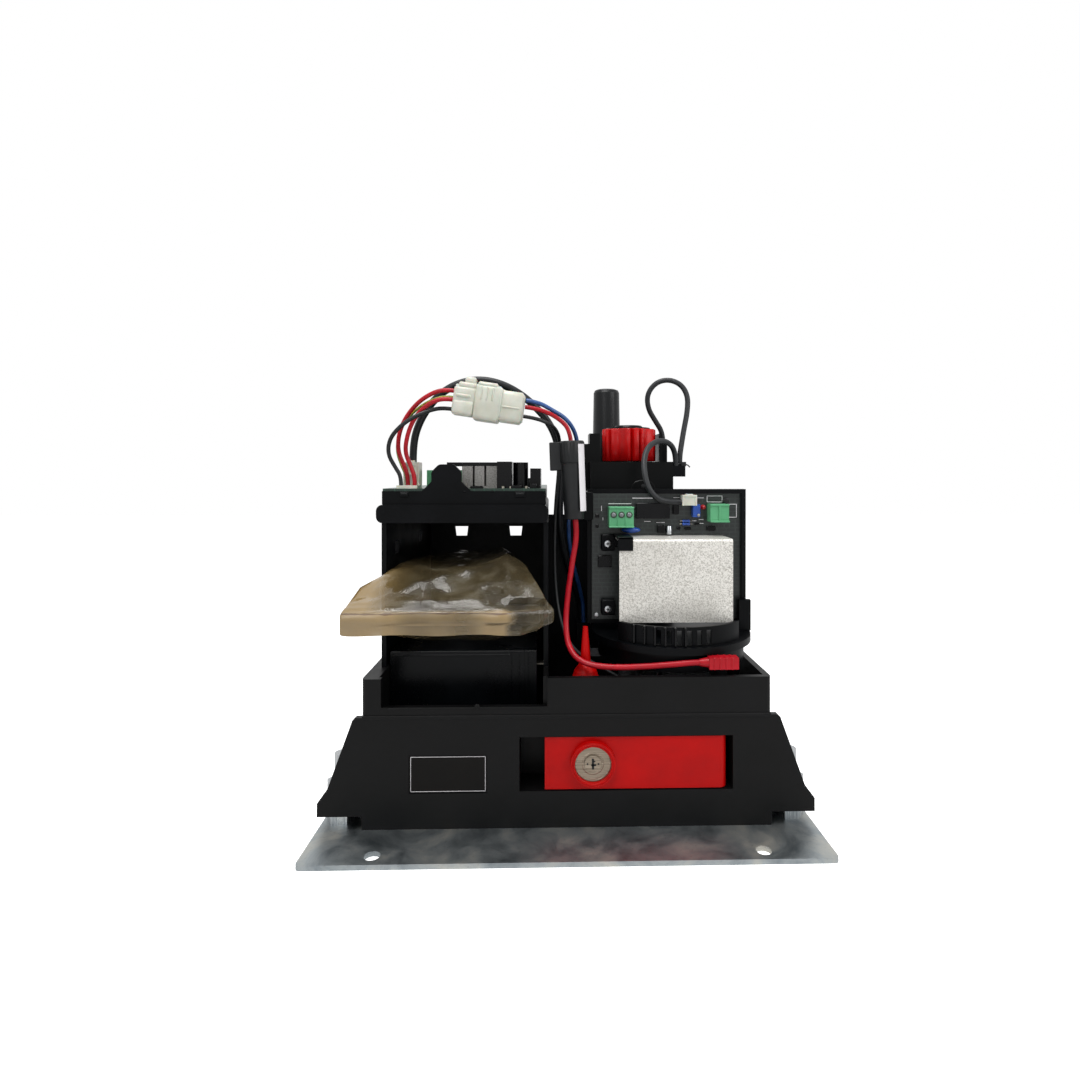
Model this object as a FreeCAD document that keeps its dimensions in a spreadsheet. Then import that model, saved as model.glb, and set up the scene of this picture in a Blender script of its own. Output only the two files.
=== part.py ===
import FreeCAD, Part
import math
import os
from types import SimpleNamespace

import Sketcher
from FreeCAD import Placement, Rotation, Vector

# Sliding gate motor, cover off. Millimetres, +Z up. The origin is the centre of the base plate's
# underside; -Y is the front (release lever side), +Y the gate side, where the drive pinion stands.

doc = FreeCAD.newDocument("SlidingGateMotor")
sheet = doc.addObject("Spreadsheet::Sheet", "Sizes")

# ---------------------------------------------------------------- driving sizes

SIZES = {
    # base plate and its fixings
    "plate_depth": 240, "plate_thick": 3, "plate_corner": 3, "plate_side": 11,
    "floor_hole_radius": 4.5, "floor_hole_in_x": 40, "floor_hole_in_y": 8.5,
    "cable_hole_radius": 14, "cable_hole_x": 12, "cable_hole_y": 74,
    "stud_radius": 5, "stud_out": 15.5, "stud_front_in": 11, "stud_rear_in": 31, "stud_height": 43.5,
    "nut_flats": 17, "nut_height": 8, "nut_hole_slack": 0.5,
    # moulded chassis
    "chassis_width": 247, "chassis_front": 85, "chassis_top": 93,
    "wall": 4, "battery_side_wall": 9.5, "chassis_floor": 5, "shelf_top": 37, "shelf_skin": 4,
    "divider_x": 15, "divider_thick": 3, "foot_thick": 8, "foot_flare_rise": 8, "foot_flare_in": 6,
    "shoulder_top": 70, "shoulder_out": 5.5, "shoulder_chamfer": 1.6, "corner_round": 3,
    "notch_left": 112, "notch_land": 0.5, "notch_bottom": 76, "notch_round": 3,
    "label_left": 95.5, "label_width": 47, "label_bottom": 24.3, "label_height": 23,
    "label_sink": 0.6, "gusset_thick": 4, "gusset_y": 20,
    # release lever, its recess and its lock
    "recess_left": 29.3, "recess_right": 100, "recess_bottom": 25, "recess_top": 57.6,
    "recess_back": 60.5, "recess_skin": 3.5, "recess_sill": 5.25, "lever_gap": 0.6, "lever_left": 14,
    "lever_inset": 1, "lever_thick": 15, "lever_pin_radius": 3, "lever_pin_y": 75, "cam_small": 8, "cam_rise": 4,
    "lever_round": 5, "running_gap": 0.05,
    "lock_x": 15, "lock_radius": 11, "collar_radius": 13.5, "collar_stand": 4,
    "lock_face_sink": 3, "plug_radius": 5, "plug_stand": 0.6, "keyway_length": 6.5,
    "keyway_width": 1.2, "keyway_depth": 8, "lock_cam_thick": 2.5, "lock_cam_gap": 0.5,
    "lock_cam_reach": 17, "lock_cam_width": 8, "strike_depth": 2.4, "strike_slack": 1,
    # release plunger and spring
    "plunger_radius": 4, "plunger_collar_radius": 7, "plunger_collar_thick": 3,
    "plunger_collar_y": 46, "plunger_gap": 0.3, "plunger_slack": 0.1, "plunger_reach": 9,
    "spring_wire": 1.2, "spring_sides": 12, "spring_coils": 7, "spring_mean_radius": 5.8,
    # worm gear, output shaft and pinion
    "motor_x": 50, "motor_y": 30, "output_z": 45, "gear_module": 1.25, "wheel_teeth": 42,
    "worm_pitch_radius": 8.75, "gear_depth": 2, "gear_clearance": 0.8, "gear_backlash": 0.35,
    "wheel_face": 14, "cover_relief": 4.5, "wheel_hub_radius": 14, "wheel_hub_length": 18, "shaft_radius": 8,
    "shaft_bore_radius": 4.6, "shaft_bore_depth": 14, "shaft_start": 18,
    "shaft_tail": 34,
    "bearing_radius": 16, "bearing_width": 8, "front_bearing_y": 44, "rear_bearing_in": 8,
    "pinion_module": 4, "pinion_teeth": 16, "pinion_face": 30, "pinion_gap": 5,
    "tooth_dedendum": 1.25, "tooth_root_share": 1.5, "tooth_tip_share": 0.52, "tooth_sink": 1,
    "key_width": 5, "key_length": 24, "key_height": 5, "circlip_thick": 1.5, "circlip_stand": 3,
    "worm_length": 22, "worm_shaft_radius": 5, "worm_bearing_radius": 11,
    "worm_bearing_width": 7, "worm_bottom": 14, "worm_bearing_top_z": 76,
    # gearbox casting
    "case_wall": 4, "case_gap": 1, "cover_thick": 8, "neck_radius": 20, "neck_out": 2,
    "head_thick": 6, "head_z": 82,
    # motor and its cage
    "can_radius": 27, "can_wall": 1.6, "can_height": 122, "magnet_thick": 4, "magnet_gap": 0.8,
    "magnet_angle": 130, "armature_length": 70, "armature_lift": 22, "armature_slots": 10,
    "cage_left": 19, "cage_right": 80, "cage_front": 1, "cage_back": 76, "cage_top": 225,
    "cage_wall": 2, "cheek_height": 22, "cheek_width": 20, "right_cheek_thick": 2.5,
    "left_cheek_out": 10, "left_cheek_thick": 8,
    "drum_radius": 21.5, "drum_height": 25, "drum_flutes": 12, "drum_flute_radius": 2.6,
    "drum_gap": 0.6, "drum_cap_radius": 10.5, "drum_cap_height": 2.5,
    "post_x": 36, "post_y": 63, "post_radius": 11.6, "post_height": 61, "post_draft": 1,
    "post_round": 3,
    # battery and its bay
    "battery_length": 151, "battery_width": 94, "battery_height": 65, "battery_front": 56,
    "battery_left": 113.6, "battery_clear": 6, "battery_lid": 16, "battery_groove": 0.8, "battery_round": 1.5,
    "tab_width": 6.35, "tab_thick": 0.8, "tab_reach": 6, "tab_z": 88, "tab_front_y": 36,
    "tab_rear_y": 76, "tab_window_half": 10,
    "bay_left": 118, "bay_front": 60, "bay_clear": 3.6, "bay_top": 185, "bay_wall": 3,
    "window_left": 94, "window_pitch": 47.4, "window_width": 11.4, "window_bottom": 162,
    "window_height": 8.3, "window_taper": 1, "spine_y": 20, "spine_thick": 3, "spine_right": 18.9,
    # controller on top of the bay
    "tray_left": 120, "tray_right": 12, "tray_front": 66, "tray_clear": 5, "tray_height": 11.5,
    "tray_round": 4, "tray_wall": 3, "housing_inset": 3, "housing_right_inset": 1.5,
    "housing_height": 8.5, "housing_wall": 2, "hump_left": 86, "hump_width": 19,
    "hump_height": 17, "hump_flare": 6, "board_thick": 1.6, "board_inset": 3,
    "sink_left": 69, "sink_width": 23, "sink_height": 14.5, "sink_y": 45, "sink_depth": 16,
    "sink_slot": 1.4, "sink_bar_left": 79, "sink_bar_width": 35, "sink_bar_height": 2.5,
    "relay_left": 45.6, "relay_width": 9.6, "relay_height": 17.4, "relay_depth": 18,
    "capacitor_x": 30.5, "capacitor_radius": 5, "capacitor_height": 17, "tail_block_left": 24,
    "tail_block_width": 7, "tail_block_height": 13, "header_left": 107, "header_width": 9.6,
    "header_height": 17, "header_depth": 12, "header_y": 46, "screw_strip_left": 96.5,
    "screw_strip_width": 36, "screw_strip_height": 12, "screw_strip_depth": 9,
    "screw_strip_y": 22, "landing_left": 108.5, "landing_width": 13, "landing_height": 2,
    "landing_inset": 0.3,
    # charger group
    "drum_base_x": 72.2, "drum_base_y": 27, "drum_base_radius": 49.5, "lip_radius": 54,
    "drum_base_top": 104.5, "lip_height": 4.5, "grille_height": 12, "grille_radius": 50,
    "grille_wall": 2, "grille_pitch": 6.3, "grille_slot": 3.2, "grille_slots": 6, "grille_back": 58,
    "drum_base_cut": 3, "base_ear_width": 8, "base_ear_height": 21, "base_leg_radius": 4,
    "base_leg_y": 50, "base_leg_left": 30, "base_leg_right": 110,
    "card_left": 18, "card_right": 121, "card_bottom": 116, "card_top": 202.5, "card_y": 29,
    "bracket_thick": 3, "bracket_rim": 3, "bracket_rim_stand": 2.5, "bracket_stay_width": 14,
    "bracket_stay_z": 122,
    "fin_left": 34, "fin_right": 108, "fin_bottom": 119.6, "fin_top": 173.6, "fin_front": 57,
    "fin_thick": 2, "fin_bend": 2, "fin_notch_width": 8, "fin_notch_height": 6,
    "strip_left": 29, "strip_width": 16.5, "strip_bottom": 180, "strip_height": 13.6,
    "strip_depth": 11, "outlet_left": 97.7, "outlet_width": 12.6, "outlet_bottom": 183.4,
    "outlet_height": 12, "outlet_depth": 10, "socket_x": 84, "socket_z": 198,
    "socket_width": 9.6, "socket_height_z": 7, "socket_depth": 8,
    # harness, fuse, breather, boots, pouch
    "joint_x": 54.4, "joint_y": 60, "joint_z": 261.3, "joint_depth": 16, "joint_tilt": 8,
    "plug_length": 17, "plug_height": 22, "latch_height": 3, "skirt_length": 15,
    "skirt_stand": 0.5, "socket_length": 27.5, "socket_height": 20,
    "fuse_x": 5.6, "fuse_y": 54, "fuse_z": 186.4, "fuse_tilt": 7, "fuse_length": 51,
    "fuse_cap_length": 14, "fuse_cap_radius": 6.9, "fuse_body_radius": 6.6,
    "fuse_tip_radius": 6, "fuse_lug_out": 12.5, "fuse_lug_length": 19, "fuse_lug_width": 5,
    "breather_x": 11.5, "breather_y": 66, "breather_radius": 8, "breather_z": 82, "breather_land": 0.6,
    "breather_skirt": 7, "breather_dome": 6.5, "breather_spout": 24, "spout_radius": 3.4,
    "spout_tip_radius": 1.5,
    "boot_left": 86, "boot_length": 18, "boot_bottom": 97, "boot_height": 7, "boot_depth": 7,
    "boot_y": 84,
    "pouch_gap": 0.4, "pouch_front": 108, "pouch_overhang": 15, "pouch_back": 40,
    "pouch_lip_bottom": 124, "pouch_lip_top": 137, "pouch_top": 160, "pouch_tail_top": 135,
    "lead_wire": 2.8,
    # cable fittings on the motor cage
    "gland_width": 10, "gland_front": 3, "gland_depth": 16.5, "gland_bottom": 92,
    "gland_height": 14, "sensor_front": 26, "sensor_depth": 10, "sensor_height": 14,
    "clip_width": 9, "clip_depth": 11, "clip_bottom": 214, "clip_height": 8,
    "flag_width": 6, "flag_thick": 2,
}


class Size:
    """A number that also carries the sheet formula it came from."""

    def __init__(self, value, formula):
        self.value = float(value)
        self.formula = formula

    def __float__(self):
        return self.value

    def _join(self, other, sign, result, flip=False):
        right = other.formula if isinstance(other, Size) else repr(other)
        pair = (right, self.formula) if flip else (self.formula, right)
        return Size(result, "(%s %s %s)" % (pair[0], sign, pair[1]))

    def __add__(self, other):
        return self._join(other, "+", self.value + float(other))

    def __radd__(self, other):
        return self._join(other, "+", float(other) + self.value, True)

    def __sub__(self, other):
        return self._join(other, "-", self.value - float(other))

    def __rsub__(self, other):
        return self._join(other, "-", float(other) - self.value, True)

    def __mul__(self, other):
        return self._join(other, "*", self.value * float(other))

    def __rmul__(self, other):
        return self._join(other, "*", float(other) * self.value, True)

    def __truediv__(self, other):
        return self._join(other, "/", self.value / float(other))

    def __neg__(self):
        return Size(-self.value, "(0 - %s)" % self.formula)


def fill_sheet():
    sizes = SimpleNamespace()
    for row, (name, value) in enumerate(SIZES.items(), start=1):
        sheet.set("A%d" % row, name)
        sheet.set("B%d" % row, str(value))
        sheet.setAlias("B%d" % row, name)
        setattr(sizes, name, Size(value, "Sizes." + name))
    doc.recompute()
    return sizes


S = fill_sheet()
NODES = {}


# ---------------------------------------------------------------- primitives bound to the sheet

def bind(item, prop, size):
    if isinstance(size, Size):
        item.setExpression(prop, size.formula)
    else:
        item.setExpression(prop, repr(float(size)))


def place(item, x, y, z):
    for letter, size in zip("xyz", (x, y, z)):
        bind(item, "Placement.Base." + letter, size)


def block(name, xs, ys, zs):
    item = doc.addObject("Part::Box", name)
    for prop, (low, high) in zip(("Length", "Width", "Height"), (xs, ys, zs)):
        bind(item, prop, high - low)
    place(item, xs[0], ys[0], zs[0])
    return item


TURNS = {"x": Rotation(Vector(0, 1, 0), 90), "y": Rotation(Vector(1, 0, 0), -90), "z": Rotation()}


def rod(name, axis, start, length, radius):
    item = doc.addObject("Part::Cylinder", name)
    item.Placement = Placement(Vector(), TURNS[axis])
    bind(item, "Radius", radius)
    bind(item, "Height", length)
    place(item, *start)
    return item


def hexagon(name, start, height, flats):
    item = doc.addObject("Part::Prism", name)
    item.Polygon = 6
    bind(item, "Circumradius", flats / math.sqrt(3))
    bind(item, "Height", height)
    place(item, *start)
    return item


def fuse(name, items):
    item = doc.addObject("Part::MultiFuse", name)
    item.Shapes = items
    return item


def group(name, items):
    item = doc.addObject("Part::Compound", name)
    item.Links = items
    return item


def cut(name, base, tools):
    item = doc.addObject("Part::Cut", name)
    item.Base = base
    item.Tool = tools[0] if len(tools) == 1 else group(name + "_tools", tools)
    return item


def feature(name, shape):
    item = doc.addObject("Part::Feature", name)
    item.Shape = shape
    return item


def rounded(name, base, radius, wanted):
    """Fillet the edges of a Part object that the test picks."""
    doc.recompute()
    item = doc.addObject("Part::Fillet", name)
    item.Base = base
    picked = [i for i, edge in enumerate(base.Shape.Edges, start=1) if wanted(edge)]
    item.Edges = [(i, float(radius), float(radius)) for i in picked]
    return item


def node(label, item):
    item.Label = label
    NODES[label] = item
    return item


def upright(edge):
    return edge.BoundBox.XLength < 0.01 and edge.BoundBox.YLength < 0.01


def lengthwise(edge):
    return edge.BoundBox.YLength < 0.01 and edge.BoundBox.ZLength < 0.01


# ---------------------------------------------------------------- PartDesign helpers

def new_body(label):
    body = doc.addObject("PartDesign::Body", label)
    return node(label, body)


def plane_of(body, role):
    return next(f for f in body.Origin.OriginFeatures if f.Role == role)


def sketch_on(body, role, name, offset):
    sketch = body.newObject("Sketcher::SketchObject", name)
    sketch.AttachmentSupport = [(plane_of(body, role), "")]
    sketch.MapMode = "FlatFace"
    bind(sketch, "AttachmentOffset.Base.z", offset)
    return sketch


def pin_point(sketch, geo, end, point):
    for kind, size in zip(("DistanceX", "DistanceY"), point):
        index = sketch.addConstraint(Sketcher.Constraint(kind, -1, 1, geo, end, float(size)))
        if isinstance(size, Size):
            sketch.setExpression("Constraints[%d]" % index, size.formula)


def draw_loop(sketch, points):
    first = sketch.GeometryCount
    flat = [Vector(float(a), float(b), 0) for a, b in points]
    count = len(points)
    for i in range(count):
        sketch.addGeometry(Part.LineSegment(flat[i], flat[(i + 1) % count]), False)
    for i in range(count):
        following = first + (i + 1) % count
        sketch.addConstraint(Sketcher.Constraint("Coincident", first + i, 2, following, 1))
    for i, point in enumerate(points):
        pin_point(sketch, first + i, 1, point)


def draw_circle(sketch, centre, radius):
    middle = Vector(float(centre[0]), float(centre[1]), 0)
    geo = sketch.addGeometry(Part.Circle(middle, Vector(0, 0, 1), float(radius)), False)
    pin_point(sketch, geo, 3, centre)
    index = sketch.addConstraint(Sketcher.Constraint("Radius", geo, float(radius)))
    if isinstance(radius, Size):
        sketch.setExpression("Constraints[%d]" % index, radius.formula)


def corners(xs, ys):
    return [(xs[0], ys[0]), (xs[1], ys[0]), (xs[1], ys[1]), (xs[0], ys[1])]


def pad(body, name, role, offset, depth, loops=(), circles=(), kind="Pad"):
    sketch = sketch_on(body, role, name + "_sketch", offset)
    for loop in loops:
        draw_loop(sketch, loop)
    for centre, radius in circles:
        draw_circle(sketch, centre, radius)
    item = body.newObject("PartDesign::" + kind, name)
    item.Profile = sketch
    bind(item, "Length", depth)
    sketch.Visibility = False
    doc.recompute()
    return item


def pocket(body, name, role, offset, depth, loops=(), circles=()):
    before = body.Shape.Volume
    item = pad(body, name, role, offset, depth, loops, circles, "Pocket")
    if body.Shape.Volume > before - 1e-6:
        raise RuntimeError(name + " removed 0")
    return item


def turned(body, name, points):
    """Revolve a half section drawn as (radius, height) about the sketch's upright axis."""
    sketch = sketch_on(body, "XZ_Plane", name + "_sketch", 0)
    draw_loop(sketch, points)
    item = body.newObject("PartDesign::Revolution", name)
    item.Profile = sketch
    item.ReferenceAxis = (sketch, ["V_Axis"])
    item.Angle = 360
    doc.recompute()
    return item


def fillet(body, name, radius, wanted):
    tip = body.Tip
    picked = ["Edge%d" % i for i, e in enumerate(tip.Shape.Edges, start=1) if wanted(e)]
    item = body.newObject("PartDesign::Fillet", name)
    item.Base = (tip, picked)
    bind(item, "Radius", radius)
    doc.recompute()
    return item


def around(body, name, original, count, role):
    """Repeat a feature about one of the body's own axes."""
    item = body.newObject("PartDesign::PolarPattern", name)
    item.Originals = [original]
    item.Axis = (plane_of(body, role), [""])
    item.Angle = 360
    bind(item, "Occurrences", count)
    body.Tip = item
    doc.recompute()
    return item


# ---------------------------------------------------------------- shared places

plate_top = S.plate_thick
chassis_half = S.chassis_width / 2
front = -S.chassis_front
battery_back = S.battery_length - S.battery_front
back = battery_back + S.battery_clear + S.wall
foot_under = plate_top + S.nut_height
foot_top = foot_under + S.foot_thick
floor_top = plate_top + S.chassis_floor
inner_left = S.battery_side_wall - chassis_half
inner_right = chassis_half - S.wall
inner_front = front + S.wall
inner_back = back - S.wall
divider_left = -S.divider_x
divider_right = divider_left + S.divider_thick
battery_right = S.battery_width - S.battery_left
bay_back = battery_back + S.bay_clear
tray_back = battery_back + S.tray_clear
wheel_pitch_radius = S.gear_module * S.wheel_teeth / 2
output_x = S.motor_x + S.worm_pitch_radius + wheel_pitch_radius
lever_face = front + S.lever_inset
lever_rear = lever_face + S.lever_thick
lever_low = S.recess_bottom + S.lever_gap
lever_high = S.recess_top - S.lever_gap
lever_right = output_x + S.cam_small + S.cam_rise
lever_pin_y = -S.lever_pin_y
heel_rear = lever_pin_y + S.cam_small
lock_z = (lever_low + lever_high) / 2
spring_front = -S.plunger_collar_y + S.plunger_collar_thick
wheel_front = S.motor_y - S.wheel_face / 2
case_inner_radius = wheel_pitch_radius + S.gear_depth / 2 + S.case_gap
case_outer_radius = case_inner_radius + S.case_wall
case_front = wheel_front - S.case_gap
cover_front = case_front - S.cover_thick
tower_radius = S.worm_bearing_radius + S.case_wall / 2
tray_top = S.bay_top + S.tray_height
housing_top = tray_top + S.housing_height
board_top = housing_top + S.board_thick
card_face = -S.card_y
bracket_face = card_face + S.board_thick
rim_front = card_face - S.bracket_rim_stand
cage_floor = S.head_z + S.head_thick
drum_base_y = -S.drum_base_y
lip_top = S.drum_base_top + S.lip_height
neck_end = back + S.neck_out
pinion_start = neck_end + S.pinion_gap
stud_x = chassis_half + S.stud_out
plate_half = stud_x + S.plate_side
studs_at = [(side * stud_x, y) for side in (-1, 1)
            for y in (inner_front + S.stud_front_in, inner_back - S.stud_rear_in)]


# ---------------------------------------------------------------- base plate and fixings

def make_base_plate():
    plate = block("plate_blank", (-plate_half, plate_half),
                  (-S.plate_depth / 2, S.plate_depth / 2), (0, plate_top))
    plate = rounded("plate_round", plate, S.plate_corner, upright)
    holes = [rod("stud_hole_%d" % i, "z", (x, y, 0), plate_top, S.stud_radius)
             for i, (x, y) in enumerate(studs_at)]
    holes += [rod("floor_hole_%d%d" % (i, j), "z",
                  (sx * (plate_half - S.floor_hole_in_x),
                   sy * (S.plate_depth / 2 - S.floor_hole_in_y), 0),
                  plate_top, S.floor_hole_radius)
              for i, sx in enumerate((-1, 1)) for j, sy in enumerate((-1, 1))]
    holes.append(rod("plate_cable_hole", "z", (S.cable_hole_x, S.cable_hole_y, 0),
                     plate_top, S.cable_hole_radius))
    node("base_plate", cut("base_plate_solid", plate, holes))


def make_studs_and_nuts():
    studs, nuts = [], []
    for i, (x, y) in enumerate(studs_at):
        studs.append(rod("stud_%d" % i, "z", (x, y, 0), S.stud_height,
                         S.stud_radius))
        for name, z in (("jam", plate_top), ("clamp", foot_top)):
            blank = hexagon("%s_blank_%d" % (name, i), (x, y, z), S.nut_height, S.nut_flats)
            bore = rod("%s_bore_%d" % (name, i), "z", (x, y, z), S.nut_height, S.stud_radius)
            nuts.append(cut("%s_nut_%d" % (name, i), blank, [bore]))
    node("foot_studs", group("foot_studs_solid", studs))
    node("foot_nuts", group("foot_nuts_solid", nuts))


# ---------------------------------------------------------------- chassis moulding

def wing_outline():
    """Front view of the skirt: flared feet, sloping shoulders, flat underside."""
    right = [(plate_half, foot_under), (plate_half, foot_top),
             (plate_half - S.foot_flare_in, foot_top + S.foot_flare_rise),
             (chassis_half + S.shoulder_out, S.shoulder_top - S.shoulder_chamfer),
             (chassis_half + S.shoulder_out - S.shoulder_chamfer, S.shoulder_top)]
    left = [(-x, z) for x, z in reversed(right)]
    return right + left


def make_chassis():
    body = new_body("chassis")
    box = corners((-chassis_half, chassis_half), (front, back))
    pad(body, "tub", "XY_Plane", plate_top, S.chassis_top - plate_top, [box])
    for name, low in (("front_skirt", front), ("back_skirt", inner_back)):
        pad(body, name, "XZ_Plane", -(low + S.wall), S.wall, [wing_outline()])
    for name, sign in (("left_foot", -1), ("right_foot", 1)):
        edge = corners((sign * chassis_half, sign * plate_half), (front, back))
        pad(body, name, "XY_Plane", foot_under, S.foot_thick, [edge])
        for end, y in (("front", -S.gusset_y), ("rear", S.gusset_y)):
            web = [(sign * chassis_half, foot_top),
                   (sign * (plate_half - S.foot_flare_in), foot_top),
                   (sign * chassis_half, S.shoulder_top)]
            pad(body, "%s_%s_gusset" % (name, end), "XZ_Plane", -(y + S.gusset_thick / 2),
                S.gusset_thick, [web])
    bay = corners((inner_left, divider_left), (inner_front, inner_back))
    pocket(body, "battery_well", "XY_Plane", S.chassis_top, S.chassis_top - S.shelf_top, [bay])
    drive = corners((divider_right, inner_right), (inner_front, inner_back))
    pocket(body, "drive_well", "XY_Plane", S.chassis_top, S.chassis_top - floor_top, [drive])
    under = corners((inner_left + S.wall, divider_left - S.wall),
                    (inner_front + S.wall, inner_back - S.wall))
    sketch_depth = S.shelf_top - S.shelf_skin - plate_top
    pocket(body, "shelf_core", "XY_Plane", S.shelf_top - S.shelf_skin, sketch_depth, [under])
    skin = S.recess_skin
    house = corners((-S.recess_left - skin, S.recess_right + skin),
                    (S.recess_bottom - S.recess_sill, S.recess_top + skin))
    reach = skin - S.recess_back - inner_front
    pad(body, "recess_house", "XZ_Plane", S.recess_back - skin, reach, [house])
    pad(body, "breather_boss", "XY_Plane", S.recess_top + skin,
        S.breather_z - S.recess_top - skin,
        circles=[((S.breather_x, -S.breather_y), S.breather_radius + S.breather_land)])
    mouth = corners((-S.recess_left, S.recess_right), (S.recess_bottom, S.recess_top))
    pocket(body, "recess", "XZ_Plane", -front, S.chassis_front - S.recess_back, [mouth])
    strike = corners((S.lock_x - S.lock_cam_reach / 2 - 2 * S.strike_slack,
                      S.lock_x + S.lock_cam_width / 2 + S.strike_slack),
                     (lever_rear + S.plunger_gap, -S.recess_back))
    pocket(body, "strike", "XY_Plane", S.recess_top + S.strike_depth, S.strike_depth, [strike])
    notch = corners((-S.notch_left, divider_right - S.notch_land), (S.notch_bottom, S.chassis_top + S.wall))
    pocket(body, "front_notch", "XZ_Plane", -front, S.wall, [notch])
    label = corners((-S.label_left, S.label_width - S.label_left),
                    (S.label_bottom, S.label_bottom + S.label_height))
    pocket(body, "label_recess", "XZ_Plane", -front, S.label_sink, [label])
    pin = [((output_x, lever_pin_y), S.lever_pin_radius)]
    top = S.recess_top + skin
    pocket(body, "pin_hole", "XY_Plane", top, top - S.recess_bottom + S.recess_sill, circles=pin)
    through = [((output_x, S.output_z), S.plunger_radius + S.plunger_slack)]
    pocket(body, "plunger_hole", "XZ_Plane", S.recess_back, skin, circles=through)
    neck = [((output_x, S.output_z), S.neck_radius)]
    pocket(body, "neck_hole", "XZ_Plane", -inner_back, S.wall, circles=neck)
    entry = [((S.cable_hole_x, S.cable_hole_y), S.cable_hole_radius)]
    pocket(body, "cable_entry", "XY_Plane", floor_top, S.chassis_floor, circles=entry)
    slots = [((x, y), S.stud_radius + S.nut_hole_slack) for x, y in studs_at]
    pocket(body, "stud_holes", "XY_Plane", foot_top, S.foot_thick, circles=slots)
    windows = [corners((y - S.tab_window_half, y + S.tab_window_half),
                       (S.tab_z - S.tab_window_half, S.chassis_top + S.wall))
               for y in (-S.tab_front_y, S.tab_rear_y)]
    pocket(body, "terminal_gates", "YZ_Plane", divider_right, S.divider_thick, windows)
    half = float(chassis_half)
    fillet(body, "corner_rounds", S.corner_round,
           lambda e: upright(e) and abs(abs(e.CenterOfMass.x) - half) < 0.01
           and e.CenterOfMass.z > float(S.shoulder_top)
           and e.CenterOfMass.y < float(inner_front))


# ---------------------------------------------------------------- release lever and lock

def cam_profile():
    """Plan view of the lever: bar, lock end, and a heel whose radius grows with the angle."""
    points = [(-S.lever_left, lever_face), (lever_right, lever_face)]
    steps = 9
    for i in range(steps + 1):
        turn = 90.0 * (steps - i) / steps
        radius = S.cam_small + S.cam_rise * (turn / 90)
        points.append((output_x + radius * math.sin(math.radians(turn)),
                       lever_pin_y + radius * math.cos(math.radians(turn))))
    points += [(output_x - S.cam_small - S.cam_rise, heel_rear),
               (output_x - S.cam_small - 2 * S.cam_rise, lever_rear), (-S.lever_left, lever_rear)]
    return points


def make_lever():
    body = new_body("release_lever")
    pad(body, "lever_bar", "XY_Plane", lever_low, lever_high - lever_low, [cam_profile()])
    collar = [((S.lock_x, lock_z), S.collar_radius)]
    pad(body, "lock_collar", "XZ_Plane", -lever_face, S.collar_stand, circles=collar)
    bore = [((S.lock_x, lock_z), S.lock_radius)]
    pocket(body, "lock_bore", "XZ_Plane", -(lever_face - S.collar_stand),
           S.lever_thick + S.collar_stand, circles=bore)
    pin = [((output_x, lever_pin_y), S.lever_pin_radius + S.running_gap)]
    pocket(body, "pin_bore", "XY_Plane", lever_high, lever_high - lever_low, circles=pin)
    right, face = float(lever_right), float(lever_face)
    fillet(body, "end_round", S.lever_round,
           lambda e: upright(e) and abs(e.CenterOfMass.x - right) < 0.01
           and abs(e.CenterOfMass.y - face) < 0.01)


def make_lever_pin():
    low = S.recess_bottom - S.recess_sill
    high = S.recess_top + S.recess_skin
    node("lever_pin", rod("lever_pin_solid", "z", (output_x, lever_pin_y, low), high - low,
                          S.lever_pin_radius))


def make_lock():
    start = lever_face - S.collar_stand + S.lock_face_sink
    axis = (S.lock_x, start, lock_z)
    length = lever_rear - start
    barrel = rod("barrel_blank", "y", axis, length, S.lock_radius)
    bore = rod("barrel_bore", "y", axis, length, S.plug_radius + S.running_gap)
    node("lock_barrel", cut("lock_barrel_solid", barrel, [bore]))
    plug_front = start - S.plug_stand
    plug_length = length + S.plug_stand + S.lock_cam_gap
    plug = rod("plug_blank", "y", (S.lock_x, plug_front, lock_z), plug_length, S.plug_radius)
    key = block("keyway", (S.lock_x - S.keyway_width / 2, S.lock_x + S.keyway_width / 2),
                (plug_front, plug_front + S.keyway_depth),
                (lock_z - S.keyway_length / 2, lock_z + S.keyway_length / 2))
    node("lock_plug", cut("lock_plug_solid", plug, [key]))
    cam_front = lever_rear + S.lock_cam_gap
    hub = rod("cam_hub", "y", (S.lock_x, cam_front, lock_z), S.lock_cam_thick, S.plug_radius)
    arm = block("cam_arm", (S.lock_x - S.lock_cam_reach, S.lock_x),
                (cam_front, cam_front + S.lock_cam_thick),
                (lock_z - S.lock_cam_width / 2, lock_z + S.lock_cam_width / 2))
    node("lock_cam", fuse("lock_cam_solid", [hub, arm]))


# ---------------------------------------------------------------- release plunger and spring

def make_plunger():
    body = new_body("release_plunger")
    tip_y = heel_rear + S.plunger_gap
    end_y = cover_front + S.plunger_reach
    rod_circle = [((output_x, S.output_z), S.plunger_radius)]
    pad(body, "rod", "XZ_Plane", -end_y, end_y - tip_y, circles=rod_circle)
    collar = [((output_x, S.output_z), S.plunger_collar_radius)]
    pad(body, "collar", "XZ_Plane", -spring_front, S.plunger_collar_thick, circles=collar)
    front_y = float(tip_y)
    fillet(body, "nose", S.plunger_radius - 0.4,
           lambda e: abs(e.CenterOfMass.y - front_y) < 0.01 and len(e.Vertexes) == 1
           and e.Length < 2 * math.pi * (float(S.plunger_radius) + 0.1))


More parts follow.
